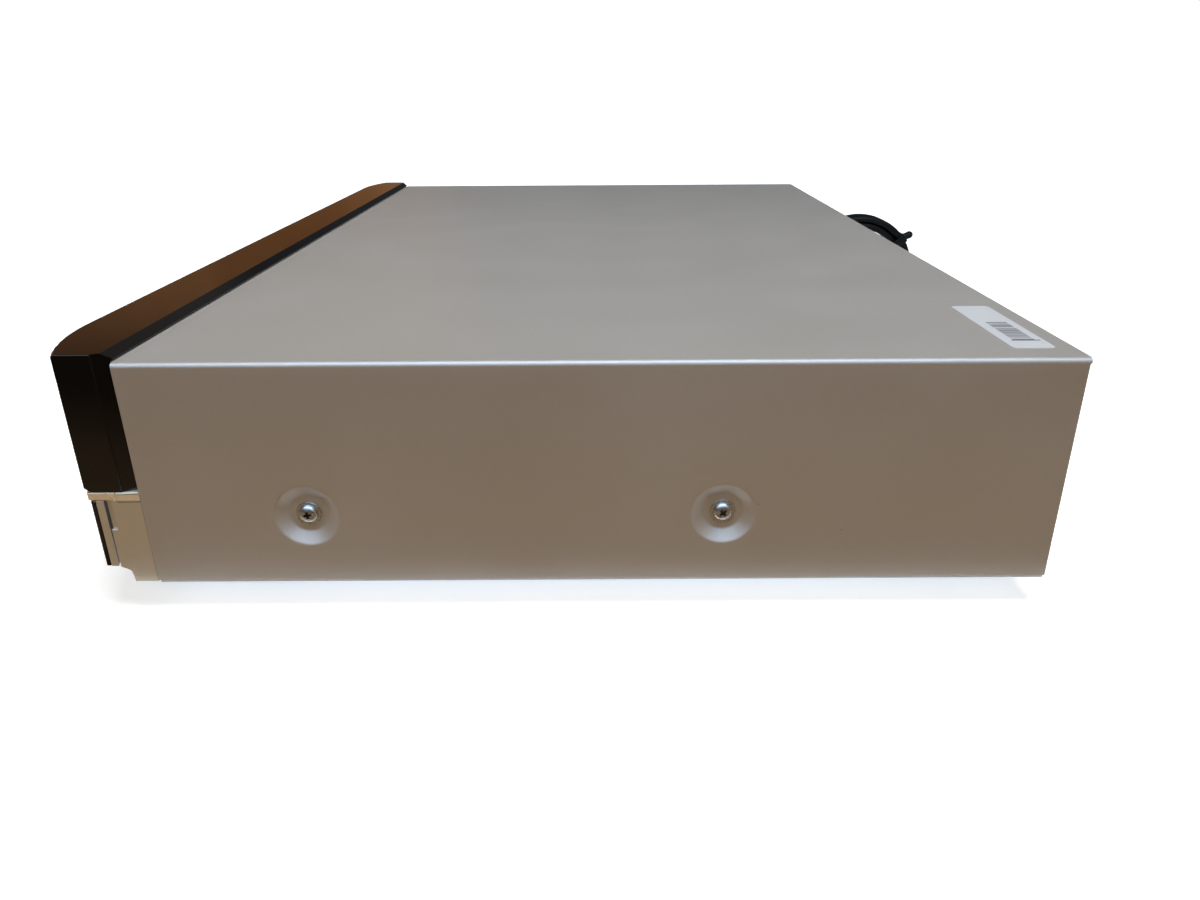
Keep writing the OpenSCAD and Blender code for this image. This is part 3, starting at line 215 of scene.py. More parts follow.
def glossBlack(name, shade=(0.0042, 0.0032, 0.0028), polish=0.06):
    finish = Finish(name)
    haze = finish.noise(35, 4.0)
    dust = finish.specks(420, 0.05) * finish.noise(60, 2.0).smoothStep(0.5, 0.62)
    base = haze.mixed(colour(shade, 0.8), colour(shade, 1.3))
    finish.drive("Base Color", (dust * 0.35).mixed(base, (0.10, 0.095, 0.09, 1)))
    finish.drive("Roughness", haze.smoothStep(0.35, 0.8) * 0.07 + polish + dust * 0.3)
    finish.bump(finish.noise(60, 2.0), 0.05, 0.0002)
    return finish.material


def champagnePaint(name, shade=(0.60, 0.59, 0.53), rough=0.30):
    finish = Finish(name, Metallic=0.45, Specular_IOR_Level=0.4)
    grain = finish.noise(3200, 1.0)
    soft = finish.noise(40, 3.0)
    flake = grain.smoothStep(0.3, 0.7) * 0.7 + soft * 0.3
    base = flake.mixed(colour(shade, 0.93), colour(shade, 1.06))
    dirt = finish.specks(150, 0.03)
    finish.drive("Base Color", (dirt * 0.5).mixed(base, colour(shade, 0.3)))
    finish.drive("Roughness", rough + soft * 0.12)
    finish.bump(grain, 0.05, 0.00002)
    return finish.material


def mouldedPlastic(name, shade, rough=0.45):
    finish = Finish(name)
    grain = finish.noise(1800, 2.0)
    soft = finish.noise(45, 3.0)
    finish.drive("Base Color", soft.mixed(colour(shade, 0.88), colour(shade, 1.12)))
    finish.drive("Roughness", rough - 0.06 + soft * 0.12)
    finish.bump(grain, 0.15, 0.00006)
    return finish.material


def plainMetal(name, shade, rough=0.28, brushed=(1, 1, 1)):
    finish = Finish(name, Metallic=1.0)
    lines = finish.noise(900, 3.0, stretch=brushed)
    cloud = finish.noise(30, 3.0)
    tone = lines * 0.6 + cloud * 0.4
    finish.drive("Base Color", tone.mixed(colour(shade, 0.8), colour(shade, 1.1)))
    finish.drive("Roughness", rough - 0.06 + lines * 0.12)
    finish.bump(lines, 0.06, 0.00003)
    return finish.material


def circuitBoard(name, shade, trace):
    finish = Finish(name)
    lanes = finish.start.node("ShaderNodeTexVoronoi",
                              {"distance": "MANHATTAN", "feature": "F1"},
                              {"Vector": finish.place, "Scale": 260.0, "Randomness": 0.6})
    copper = (lanes > 0.42) * 0.55
    pads = finish.specks(330, 0.16)
    base = copper.mixed(colour(shade), colour(trace))
    finish.drive("Base Color", (pads * 0.8).mixed(base, (0.42, 0.41, 0.38, 1)))
    finish.drive("Roughness", 0.38 + finish.noise(300) * 0.15)
    finish.bump(lanes, 0.1, 0.00005)
    return finish.material


def smokedWindow(name):
    finish = Finish(name, Base_Color=(0.014, 0.015, 0.02, 1),
                    Coat_Weight=0.6, Coat_Roughness=0.03)
    haze = finish.noise(50, 3.0)
    finish.drive("Roughness", 0.05 + haze.smoothStep(0.4, 0.8) * 0.06)
    return finish.material


sticker = {
    "corner": 1.7,
    "film": (0.60, 0.675, 0.78),
    "ink": (0.07, 0.08, 0.10),
    # the bars, in metres: their ends along the case, their pitch, and how far their feet and
    # heads stay from the film's edges
    "barsFrom": 0.1760,
    "barsTo": 0.1975,
    "barPitch": 0.0015,
    "barFoot": 0.0034,
    "barHead": 0.0026,
    "lastWide": 0.0008,
    "lastFoot": 0.0028,
    "lastHead": 0.0012,
}


def stickerFilm(name):
    # plain bars of uneven weight, which stand for nothing
    finish = Finish(name)
    low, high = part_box("asset_label")
    x = finish.axis(0)
    y = finish.axis(1)
    start, end = sticker["barsFrom"], sticker["barsTo"]
    along = (x - start) / sticker["barPitch"]
    stripe = along.maths("FRACT", along)
    count = along.maths("FLOOR", along)
    weight = finish.start.node("ShaderNodeTexWhiteNoise", {"noise_dimensions": "1D"},
                               {"W": count})
    bars = stripe < (weight * 0.62 + 0.3)
    inX = (x > start) * (x < end)
    inY = (y > low.y + sticker["barFoot"]) * (y < high.y - sticker["barHead"])
    lastX = (x > end - sticker["lastWide"]) * (x < end)
    lastY = (y > low.y + sticker["lastFoot"]) * (y < high.y - sticker["lastHead"])
    soft = finish.noise(400, 2.0)
    film = soft.mixed(colour(sticker["film"], 0.96), colour(sticker["film"], 1.03))
    inked = bars.maths("MAXIMUM", bars * inX * inY * 0.8, lastX * lastY)
    finish.drive("Base Color", inked.mixed(film, colour(sticker["ink"])))
    finish.drive("Roughness", 0.38 + soft * 0.1)
    return finish.material


def softVinyl(name, shade=(0.0028, 0.0028, 0.0034), rough=0.36):
    finish = Finish(name, Specular_IOR_Level=0.13)
    soft = finish.noise(120, 3.0)
    dust = finish.noise(900, 2.0).smoothStep(0.62, 0.8)
    base = soft.mixed(colour(shade, 0.8), colour(shade, 1.4))
    finish.drive("Base Color", (dust * 0.10).mixed(base, (0.06, 0.06, 0.065, 1)))
    finish.drive("Roughness", rough + soft * 0.12)
    finish.bump(finish.noise(1500, 2.0), 0.1, 0.00004)
    return finish.material


def makeFinishes():
    # one for each material slot, and two more for the lip and for the screws' recesses; the dark
    # recess finish is painted shade
    return {
        "lid_paint": lidPaint("lidPaint", (0.46, 0.465, 0.455), 0.35),
        "pan_steel": plainMetal("panSteel", (0.42, 0.42, 0.43), 0.4, (0.05, 1, 1)),
        "rear_paint": lidPaint("rearPaint", (0.27, 0.27, 0.275), 0.3),
        "foot_rubber": softVinyl("footRubber", (0.02, 0.02, 0.02), 0.6),
        "screw_zinc": plainMetal("screwZinc", (0.50, 0.485, 0.45), 0.27),
        "recess": plainMetal("screwRecessShade", (0.10, 0.09, 0.08), 0.45),
        "label_white": stickerFilm("stickerFilm"),
        "front_silver": champagnePaint("champagnePaint"),
        "lip": champagnePaint("lipSilver", (0.93, 0.93, 0.84), 0.22),
        "front_black": glossBlack("pianoBlack"),
        "panel_black": mouldedPlastic("panelBlack", (0.025, 0.025, 0.025), 0.5),
        "window_smoke": smokedWindow("smokedWindow"),
        "board_green": circuitBoard("boardGreen", (0.02, 0.12, 0.05), (0.05, 0.22, 0.09)),
        "board_tan": circuitBoard("boardTan", (0.42, 0.29, 0.14), (0.30, 0.20, 0.09)),
        "key_silver": champagnePaint("keySilver", (0.60, 0.59, 0.56)),
        "key_grey": mouldedPlastic("keyGrey", (0.20, 0.20, 0.21), 0.4),
        "socket_nickel": plainMetal("socketNickel", (0.68, 0.65, 0.58), 0.2),
        "insert_yellow": mouldedPlastic("insertYellow", (0.78, 0.55, 0.03), 0.4),
        "insert_white": mouldedPlastic("insertWhite", (0.78, 0.78, 0.76), 0.4),
        "insert_red": mouldedPlastic("insertRed", (0.52, 0.02, 0.02), 0.4),
        "insert_green": mouldedPlastic("insertGreen", (0.03, 0.30, 0.08), 0.4),
        "insert_blue": mouldedPlastic("insertBlue", (0.03, 0.09, 0.42), 0.4),
        "can_tin": plainMetal("canTin", (0.62, 0.62, 0.60), 0.3, (1, 0.05, 1)),
        "coil_tape": mouldedPlastic("coilTape", (0.62, 0.42, 0.06), 0.35),
        "deck_steel": plainMetal("deckSteel", (0.58, 0.58, 0.56), 0.32, (1, 0.05, 1)),
        "drum_metal": plainMetal("drumMetal", (0.74, 0.74, 0.74), 0.16, (1, 1, 0.03)),
        "reel_white": mouldedPlastic("reelWhite", (0.76, 0.76, 0.74), 0.4),
        "motor_dark": plainMetal("motorDark", (0.20, 0.20, 0.21), 0.35),
        "drive_black": mouldedPlastic("driveBlack", (0.03, 0.03, 0.033), 0.5),
        "tray_black": mouldedPlastic("trayBlack", (0.024, 0.024, 0.026), 0.42),
        "gear_white": mouldedPlastic("gearWhite", (0.78, 0.78, 0.74), 0.4),
        "cord_black": softVinyl("softVinyl"),
    }


finishes = makeFinishes()
for node, piece in frame["nodes"].items():
    piece.data.materials.clear()
    piece.data.materials.append(finishes[slotOf[node]])
print("finishes made:", len(finishes))


def allGeometry(bm):
    return bm.verts[:] + bm.edges[:] + bm.faces[:]


def vertsOf(faces):
    return list(dict.fromkeys(v for f in faces for v in f.verts))


def facesGeometry(faces):
    return faces + list(dict.fromkeys(e for f in faces for e in f.edges)) + vertsOf(faces)


def vertsIn(geometry):
    return [g for g in geometry if isinstance(g, bmesh.types.BMVert)]


def openEdgesIn(geometry):
    return [g for g in geometry if isinstance(g, bmesh.types.BMEdge) and g.is_boundary]


def cutAcross(bm, geometry, normal, at):
    bmesh.ops.bisect_plane(bm, geom=geometry, plane_co=Vector(normal) * at, plane_no=normal)


def bevelEdges(bm, edges, width, segments):
    bmesh.ops.bevel(bm, geom=edges, offset=width, offset_type="OFFSET", segments=segments,
                    profile=0.5, affect="EDGES", clamp_overlap=True, material=-1)


def makePiece(bm, name, nodes, place=toFrame, sharpAt=35, flatFrom=1):
    # turns a bmesh into a piece that stands for some CAD nodes and moves with their body
    bmesh.ops.transform(bm, matrix=place, verts=bm.verts)
    for face in bm.faces:
        # a face square to an axis shades flat from this many square metres on
        square = max(abs(part) for part in face.normal) > 0.9999
        face.smooth = not (square and face.calc_area() > flatFrom)
    for edge in bm.edges:
        edge.smooth = edge.is_manifold and edge.calc_face_angle(0) < radians(sharpAt)
    mesh = bpy.data.meshes.new(name)
    bm.to_mesh(mesh)
    bm.free()
    piece = bpy.data.objects.new(name, mesh)
    scene.collection.objects.link(piece)
    slot = slotOf[nodes[0]]
    mesh.materials.append(finishes[slot])
    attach(piece, bodyOf[nodes[0]])
    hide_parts(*nodes)
    return piece


# nodes whose moulded or pressed edges are rounded: width in millimetres and segments
roundedEdges = {
    "upper_fascia": (0.35, 3), "front_frame": (0.3, 2), "control_door": (0.35, 2),
    "door_trim": (0.35, 3), "cassette_flap": (0.3, 3), "tray_front": (0.3, 3),
    "display_window": (0.2, 2), "power_button": (0.5, 3), "eject_button": (0.4, 3),
    "open_close_button": (0.4, 3), "play_button": (0.4, 3), "rewind_button": (0.5, 3),
    "forward_button": (0.5, 3), "record_button": (0.5, 3), "channel_rocker": (0.5, 3),
    "feet": (0.8, 3), "disc_tray": (0.3, 2), "control_panel": (0.3, 2), "jack_blocks": (0.4, 2),
    "cord_bushing": (0.25, 2), "plug": (0.7, 3), "tuner_module": (0.25, 2),
}
rounding = {
    "merge": 0.002,
    "level": 0.6,  # faces that turn less than this, in degrees, are joined
    "corner": 38,  # edges that turn more than this are rounded
    "sharpAt": 12,  # keeps the flats flat and the wide curves smooth
    "flatFrom": 3e-5,
    "softForms": ("plug", "cord_bushing", "feet"),
    "ends": {"upper_fascia": 0.4, "front_frame": 0.22},  # the radius at the case's ends
    "endSteps": 4,
}


def roundEnds(bm, radius):
    # draws the end faces in and brings them out again in narrowing rings
    steps = rounding["endSteps"]
    for side in (-1, 1):
        ends = [f for f in bm.faces if min(side * v.co.x for v in f.verts) > halfW - 0.01]
        bmesh.ops.translate(bm, vec=(-side * radius, 0, 0), verts=vertsOf(ends))
        for step in range(steps):
            a, b = pi / 2 * step / steps, pi / 2 * (step + 1) / steps
            bmesh.ops.inset_region(bm, faces=ends, thickness=radius * (cos(a) - cos(b)),
                                   depth=radius * (sin(b) - sin(a)), use_even_offset=True)


def roundedCopy(node, detail=None):
    # a merged copy of a CAD node with its edges rounded, and a detail cut into it
    width, segments = roundedEdges[node]
    bm = bmesh.new()
    bm.from_mesh(frame["nodes"][node].data)
    bmesh.ops.transform(bm, matrix=toFrame.inverted(), verts=bm.verts)
    bmesh.ops.remove_doubles(bm, verts=bm.verts, dist=rounding["merge"])
    bmesh.ops.dissolve_limit(bm, angle_limit=radians(rounding["level"]), verts=bm.verts,
                             edges=bm.edges, use_dissolve_boundaries=False)
    corners = [e for e in bm.edges
               if e.is_manifold and e.calc_face_angle(0) > radians(rounding["corner"])]
    if node in rounding["ends"]:
        roundEnds(bm, rounding["ends"][node])
        corners = [e for e in corners
                   if e.is_valid and max(abs(v.co.x) for v in e.verts) < halfW - 1]
    bevelEdges(bm, corners, width, segments)
    if detail:
        detail(bm)
    if node in rounding["softForms"]:
        return makePiece(bm, node + "Form", [node])
    return makePiece(bm, node + "Form", [node], sharpAt=rounding["sharpAt"],
                     flatFrom=rounding["flatFrom"])


lead = {
    "diameter": 4.5,
    # the free stretches, in the frame, in millimetres
    "exit": (-30, 144, 25),
    "sleeve": [(-30, 152, 25), (-30, 161, 25)],
    "toCoil": [(-30, 170, 25), (-30, 180, 24), (-33, 192, 20), (-40, 202, 13), (-51, 209, 6),
               (-64, 212, 3), (-80, 212, 2.7), (-96, 212, 2.7), (-110, 212, 4), (-121, 212, 9),
               (-130, 212, 18), (-135, 212, 28)],
    "toPlug": [(-135, 175, 7.5), (-131, 183, 6), (-124, 190, 5.5), (-114, 193.5, 6),
               (-105, 194, 7), (-98, 194, 8)],
    "coilAt": (-143.5, 179.5, 35.2),
    "outerR": 32.75,
    "innerR": 28.25,
    "firstX": -136.75,
    "lastX": -150.25,
    # the winding, in degrees: away on the outer layer, a hop in, and back on the inner layer
    "turnStep": 20,
    "endTurn": 2400,
    "outerTurns": (45, 1125),
    "hopTurns": (1125, 1215),
    "innerTurns": (1215, 2295),
    "measureSteps": 8,
}


def share(turn, start, end):
    return min(max((turn - start) / (end - start), 0), 1)


def coilPoint(turn):
    hop = share(turn, *lead["hopTurns"])
    hop = hop * hop * (3 - 2 * hop)
    along = share(turn, *lead["outerTurns"]) - share(turn, *lead["innerTurns"])
    x = lead["firstX"] + (lead["lastX"] - lead["firstX"]) * along
    r = lead["outerR"] + (lead["innerR"] - lead["outerR"]) * hop
    middle = lead["coilAt"]
    return (x, middle[1] + r * cos(radians(turn)), middle[2] + r * sin(radians(turn)))


def bezierLength(spline):
    steps = lead["measureSteps"]
    length = 0
    for a, b in zip(spline.bezier_points[:-1], spline.bezier_points[1:]):
        last = a.co
        for k in range(1, steps + 1):
            t = k / steps
            here = (a.co * (1 - t) ** 3 + a.handle_right * 3 * t * (1 - t) ** 2
                    + b.handle_left * 3 * t * t * (1 - t) + b.co * t ** 3)
            length += (here - last).length
            last = here
    return length


def drawLead():
    coil = [coilPoint(turn) for turn in range(0, lead["endTurn"] + 1, lead["turnStep"])]
    points = [lead["exit"]] + lead["sleeve"] + lead["toCoil"] + coil + lead["toPlug"]
    route = [Vector(point) * mm for point in points]
    curve = bpy.data.curves.new("mainsLead", "CURVE")
    curve.dimensions = "3D"
    curve.bevel_depth = lead["diameter"] / 2 * mm
    curve.bevel_resolution = 3
    curve.resolution_u = 5
    curve.use_fill_caps = True
    spline = curve.splines.new("BEZIER")
    spline.bezier_points.add(len(route) - 1)
    for i, (knot, point) in enumerate(zip(spline.bezier_points, route)):
        before = route[max(i - 1, 0)]
        after = route[min(i + 1, len(route) - 1)]
        along = (after - before).normalized()
        knot.co = point
        knot.handle_left = point - along * (point - before).length / 3
        knot.handle_right = point + along * (after - point).length / 3
    cable = bpy.data.objects.new("mainsLead", curve)
    scene.collection.objects.link(cable)
    curve.materials.append(finishes["cord_black"])
    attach(cable, "case")
    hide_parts("power_cord", "cord_coil")
    return cable, bezierLength(spline)


tieBand = {
    "angle": 36,  # round the coil, from its rear
    "halfWide": 9.0,  # of the winding
    "middleR": 30.5,
    "halfHigh": 4.5,
    "thick": 1.2,
    "slack": 0.1,
    "wide": 5.0,
    "corner": 3.2,
    "edge": 0.35,
    # distance and radius along the twisted end
    "end": [(0, 2.3), (1.0, 2.45), (3.0, 2.25), (4.6, 2.45), (5.8, 2.25), (6.6, 1.75),
            (7.1, 1.0), (7.3, 0.35)],
    "endRise": 24,
    "endTwist": 14,
    "endSunk": 0.6,
    "endAside": 4.5,
}


def bandRound(bm):
    # the band round the winding
    thick, wide = tieBand["thick"], tieBand["wide"]
    bmesh.ops.create_grid(bm, x_segments=1, y_segments=1, size=1)
    bmesh.ops.scale(bm, vec=(tieBand["halfWide"] + thick, tieBand["halfHigh"] + thick, 1),
                    verts=bm.verts)
    bmesh.ops.bevel(bm, geom=bm.verts[:], offset=tieBand["corner"], offset_type="OFFSET",
                    segments=6, profile=0.5, affect="VERTICES", material=-1)
    bmesh.ops.delete(bm, geom=bm.faces[:], context="FACES_ONLY")
    swept = bmesh.ops.extrude_edge_only(bm, edges=bm.edges[:])["geom"]
    bmesh.ops.translate(bm, vec=(0, 0, wide), verts=vertsIn(swept))
    bmesh.ops.translate(bm, vec=(0, 0, -wide / 2), verts=bm.verts)
    bmesh.ops.recalc_face_normals(bm, faces=bm.faces)
    bmesh.ops.solidify(bm, geom=bm.faces[:], thickness=thick - tieBand["slack"])
    bmesh.ops.recalc_face_normals(bm, faces=bm.faces)
    corners = [e for e in bm.edges if e.is_manifold and e.calc_face_angle(0) > radians(60)]
    bevelEdges(bm, corners, tieBand["edge"], 3)


def leadTie():
    bm = bmesh.new()
    bandRound(bm)
    coilAt = Vector(lead["coilAt"])
    middle = tieBand["middleR"]
    lean = Matrix.Rotation(radians(tieBand["angle"]), 4, "X")
    bmesh.ops.transform(bm, verts=bm.verts, matrix=Matrix.Translation(coilAt) @ lean
                        @ Matrix.Translation((0, middle, 0)))
    # its twisted end
    outer = lean @ Vector((0, middle + tieBand["halfHigh"] - tieBand["endSunk"], 0))
    foot = coilAt + Vector((tieBand["endAside"], 0, 0)) + outer
    along = Matrix.Translation(foot) @ Matrix.Rotation(radians(tieBand["endRise"] - 90), 4, "X")
    axis = along.to_3x3() @ Vector((0, 0, 1))
    ring = bmesh.ops.create_circle(bm, cap_ends=True, segments=20,
                                   radius=tieBand["end"][0][1], matrix=along)["verts"]
    loop = [e for e in bm.edges if e.verts[0] in ring and e.verts[1] in ring]
    for (d0, r0), (d1, r1) in zip(tieBand["end"], tieBand["end"][1:]):
        made = bmesh.ops.extrude_edge_only(bm, edges=loop)["geom"]
        ring, loop = vertsIn(made), openEdgesIn(made)
        here = along @ Matrix.Translation((0, 0, d1))
        bmesh.ops.translate(bm, vec=(0, 0, d1 - d0), space=along.inverted(), verts=ring)
        bmesh.ops.scale(bm, vec=(r1 / r0, r1 / r0, 1), space=here.inverted(), verts=ring)
        bmesh.ops.rotate(bm, cent=here.translation, verts=ring,
                         matrix=Matrix.Rotation(radians(tieBand["endTwist"]), 3, axis))
    bmesh.ops.contextual_create(bm, geom=loop)
    bmesh.ops.recalc_face_normals(bm, faces=bm.faces)
    return makePiece(bm, "leadTie", ["cord_tie"], place=Matrix.Scale(mm, 4), sharpAt=50)


cable, leadLength = drawLead()
print("lead drawn:", round(leadLength, 4), "m")
roundedCopy("plug")
leadTie()
roundedCopy("cord_bushing")
print("mains lead made")


def addBlock(bm, x, y, z):
    # a block between two corners, for a detail of a larger piece
    made = bmesh.ops.create_cube(bm, size=1)["verts"]
    bmesh.ops.scale(bm, vec=(x[1] - x[0], y[1] - y[0], z[1] - z[0]), verts=made)
    bmesh.ops.translate(bm, vec=((x[0] + x[1]) / 2, (y[0] + y[1]) / 2, (z[0] + z[1]) / 2),
                        verts=made)


frontEnds = {
    # grooves across the silver end caps: y range and z range
    "grooves": [((-7.4, -7.0), (27.9, 30.7)), ((-7.2, -0.1), (27.2, 27.6)),
                ((-7.2, -0.1), (29.8, 30.15))],
    "grooveDepth": 0.9,
    "capDepth": 1.2,
    "lipFrom": 27.9,  # the brighter lip begins at this height
    # the silver floor of the finger notch behind the door
    "notchY": (-10.75, -9.0),
    "notchZ": (17.9, 28.1),
    "notchSetBack": 0.9,
    "notchThick": 1.2,
}


def inGroove(face):
    c = face.calc_center_median()
    return any(ys[0] < c.y < ys[1] and zs[0] < c.z < zs[1] for ys, zs in frontEnds["grooves"])


def frontEndDetail(bm):
    reach = halfW - frontEnds["capDepth"]
    cuts = {((0, 1, 0), y) for ys, zs in frontEnds["grooves"] for y in ys}
    cuts |= {((0, 0, 1), z) for ys, zs in frontEnds["grooves"] for z in zs}
    for normal, at in sorted(cuts):
        ends = [f for f in bm.faces if min(abs(v.co.x) for v in f.verts) > reach]
        cutAcross(bm, facesGeometry(ends), normal, at)
    for side in (-1, 1):
        sunk = [f for f in bm.faces
                if inGroove(f) and min(side * v.co.x for v in f.verts) > reach]
        made = bmesh.ops.extrude_face_region(bm, geom=sunk)["geom"]
        bmesh.ops.delete(bm, geom=sunk, context="FACES")
        bmesh.ops.translate(bm, vec=(-side * frontEnds["grooveDepth"], 0, 0),
                            verts=vertsIn(made))
        outer = side * (halfW - frontEnds["notchSetBack"])
        inner = outer - side * frontEnds["notchThick"]
        addBlock(bm, sorted((outer, inner)), frontEnds["notchY"], frontEnds["notchZ"])
    for face in bm.faces:
        if face.calc_center_median().z > frontEnds["lipFrom"]:
            face.material_index = 1


def doorDetail(bm):
    # the inside of the door is black
    for face in bm.faces:
        if face.normal.y > 0.6:
            face.material_index = 1


detailOf = {"front_frame": frontEndDetail, "control_door": doorDetail}
secondFinish = {"front_frame": "lip", "control_door": "panel_black"}
for node in roundedEdges:
    if node in ("plug", "cord_bushing"):
        continue  # made with the lead
    form = roundedCopy(node, detailOf.get(node))
    if node in secondFinish:
        form.data.materials.append(finishes[secondFinish[node]])
print("rounded copies made:", len(roundedEdges))


lid = {
    "foldRadius": 1.5,
    "foldSteps": 6,
    "besideFold": 0.5,  # a short flat that keeps the wide panels flat in their shading
    "sheet": 0.8,
    "dimpleAt": [(49.5, 22.2), (176.5, 22.2)],
    # radius and depth along the pressed dimple
    "dimpleRings": [(10.5, 0), (10.1, 0.03), (9.75, 0.12), (9.4, 0.34), (6.5, 2.24), (6.2, 2.40),
                    (5.9, 2.48), (5.4, 2.5), (1.9, 2.5)],
    "dimpleMargin": 2,
    "windowCuts": 9,
    # below this height the sides end a little short of the top's rear edge
    "notchZ": 69.4,
    "notchIn": 0.45,
    "notchLine": 0.3,
}


def cutSides(bm):
    # lines round each dimple, which leave a square window for it
    reach = lid["dimpleRings"][0][0] + lid["dimpleMargin"]
    lines = {((0, 1, 0), y + way * reach) for y, z in lid["dimpleAt"] for way in (-1, 1)}
    lines |= {((0, 0, 1), z + way * reach) for y, z in lid["dimpleAt"] for way in (-1, 1)}
    for normal, at in sorted(lines):
        sides = [f for f in bm.faces if abs(f.calc_center_median().x) > halfW - 0.01]
        cutAcross(bm, facesGeometry(sides), normal, at)


def pressDimple(bm, side, y, z):
    # bridges a window to a ring and presses the ring in
    centre = Vector((side * halfW, y, z))
    window = min(bm.faces, key=lambda f: (f.calc_center_median() - centre).length)
    bmesh.ops.subdivide_edges(bm, edges=window.edges[:], cuts=lid["windowCuts"])
    window = min(bm.faces, key=lambda f: (f.calc_center_median() - centre).length)
    rim = window.edges[:]
    bmesh.ops.delete(bm, geom=[window], context="FACES_ONLY")
    rings = lid["dimpleRings"]
    turn = (Matrix.Translation(centre) @ Matrix.Rotation(radians(90), 4, "Y")
            @ Matrix.Rotation(radians(45), 4, "Z"))
    ring = bmesh.ops.create_circle(bm, segments=len(rim), radius=rings[0][0],
                                   matrix=turn)["verts"]
    loop = [e for e in bm.edges if e.verts[0] in ring and e.verts[1] in ring]
    bmesh.ops.bridge_loops(bm, edges=rim + loop)
    for (r0, d0), (r1, d1) in zip(rings, rings[1:]):
        made = bmesh.ops.extrude_edge_only(bm, edges=loop)["geom"]
        ring, loop = vertsIn(made), openEdgesIn(made)
        bmesh.ops.scale(bm, vec=(1, r1 / r0, r1 / r0), space=Matrix.Translation(-centre),
                        verts=ring)
        bmesh.ops.translate(bm, vec=(-side * (d1 - d0), 0, 0), verts=ring)


def foldedLid():
    bm = bmesh.new()
    r = lid["foldRadius"]
    foot = bm.verts.new((halfW, 0, 0))
    top = bm.verts.new((halfW, 0, lidHeight - r))
    bm.edges.new((foot, top))
    bend = bmesh.ops.spin(bm, geom=[top], cent=(halfW - r, 0, lidHeight - r), axis=(0, -1, 0),
                          dvec=(0, 0, 0), angle=pi / 2, steps=lid["foldSteps"])["geom_last"]
    middle = bm.verts.new((0, 0, lidHeight))
    bm.edges.new((vertsIn(bend)[0], middle))
    bmesh.ops.mirror(bm, geom=allGeometry(bm), axis="X", merge_dist=0.001)
    swept = bmesh.ops.extrude_edge_only(bm, edges=bm.edges[:])["geom"]
    bmesh.ops.translate(bm, vec=(0, lidDepth, 0), verts=vertsIn(swept))
    bmesh.ops.remove_doubles(bm, verts=bm.verts, dist=0.001)
    beside = r + lid["besideFold"]
    cuts = [((0, 0, 1), lidHeight - beside), ((0, 0, 1), lid["notchZ"] - lid["notchLine"]),
            ((1, 0, 0), halfW - beside), ((1, 0, 0), beside - halfW)]
    for normal, at in cuts:
        cutAcross(bm, allGeometry(bm), normal, at)
    cutSides(bm)
    for side in (-1, 1):
        for y, z in lid["dimpleAt"]:
            pressDimple(bm, side, y, z)
    for vert in bm.verts:
        if vert.co.y > lidDepth - 0.01 and vert.co.z < lid["notchZ"]:
            vert.co.y -= lid["notchIn"]
    bmesh.ops.recalc_face_normals(bm, faces=bm.faces)
    if max(bm.faces, key=lambda f: f.calc_center_median().z).normal.z < 0:
        bmesh.ops.reverse_faces(bm, faces=bm.faces)
    piece = makePiece(bm, "lidShell", ["top_cover"], sharpAt=50)
    wall = piece.modifiers.new("wall", "SOLIDIFY")
    wall.thickness = lid["sheet"] * mm
    wall.offset = -1
    wall.use_even_offset = True


foldedLid()
print("lid folded")


screw = {
    # radius and height of the head's outline, from its washer to its crown
    "outline": [(3.45, 0.0), (3.55, 0.16), (3.85, 0.26), (3.9, 0.5), (3.78, 0.68), (3.45, 0.74),
                (3.05, 0.62), (2.95, 0.66), (2.9, 1.15), (2.62, 1.52), (2.05, 1.8), (1.2, 1.98),
                (0.0, 2.05)],
    "slotWidth": 0.42,
    "slotReach": 1.55,
    "slotDepth": 1.1,
    "slotDraft": 0.05,
    "slotFrom": 1.2,  # only faces above this height belong to the cross
    "shankR": 1.5,
    "seatIn": 2.5,  # from the lid's side to the floor of a dimple
    "sideLength": 8,
    "sideTurns": {-1: (20, 65), 1: (8, 40)},
    "rearY": 276.4,
    "rearLength": 6,
    "rearAt": [(10 - halfW, 8, 10), (-20, 64, 33), (halfW - 10, 8, 70)],  # x, z and turn
}


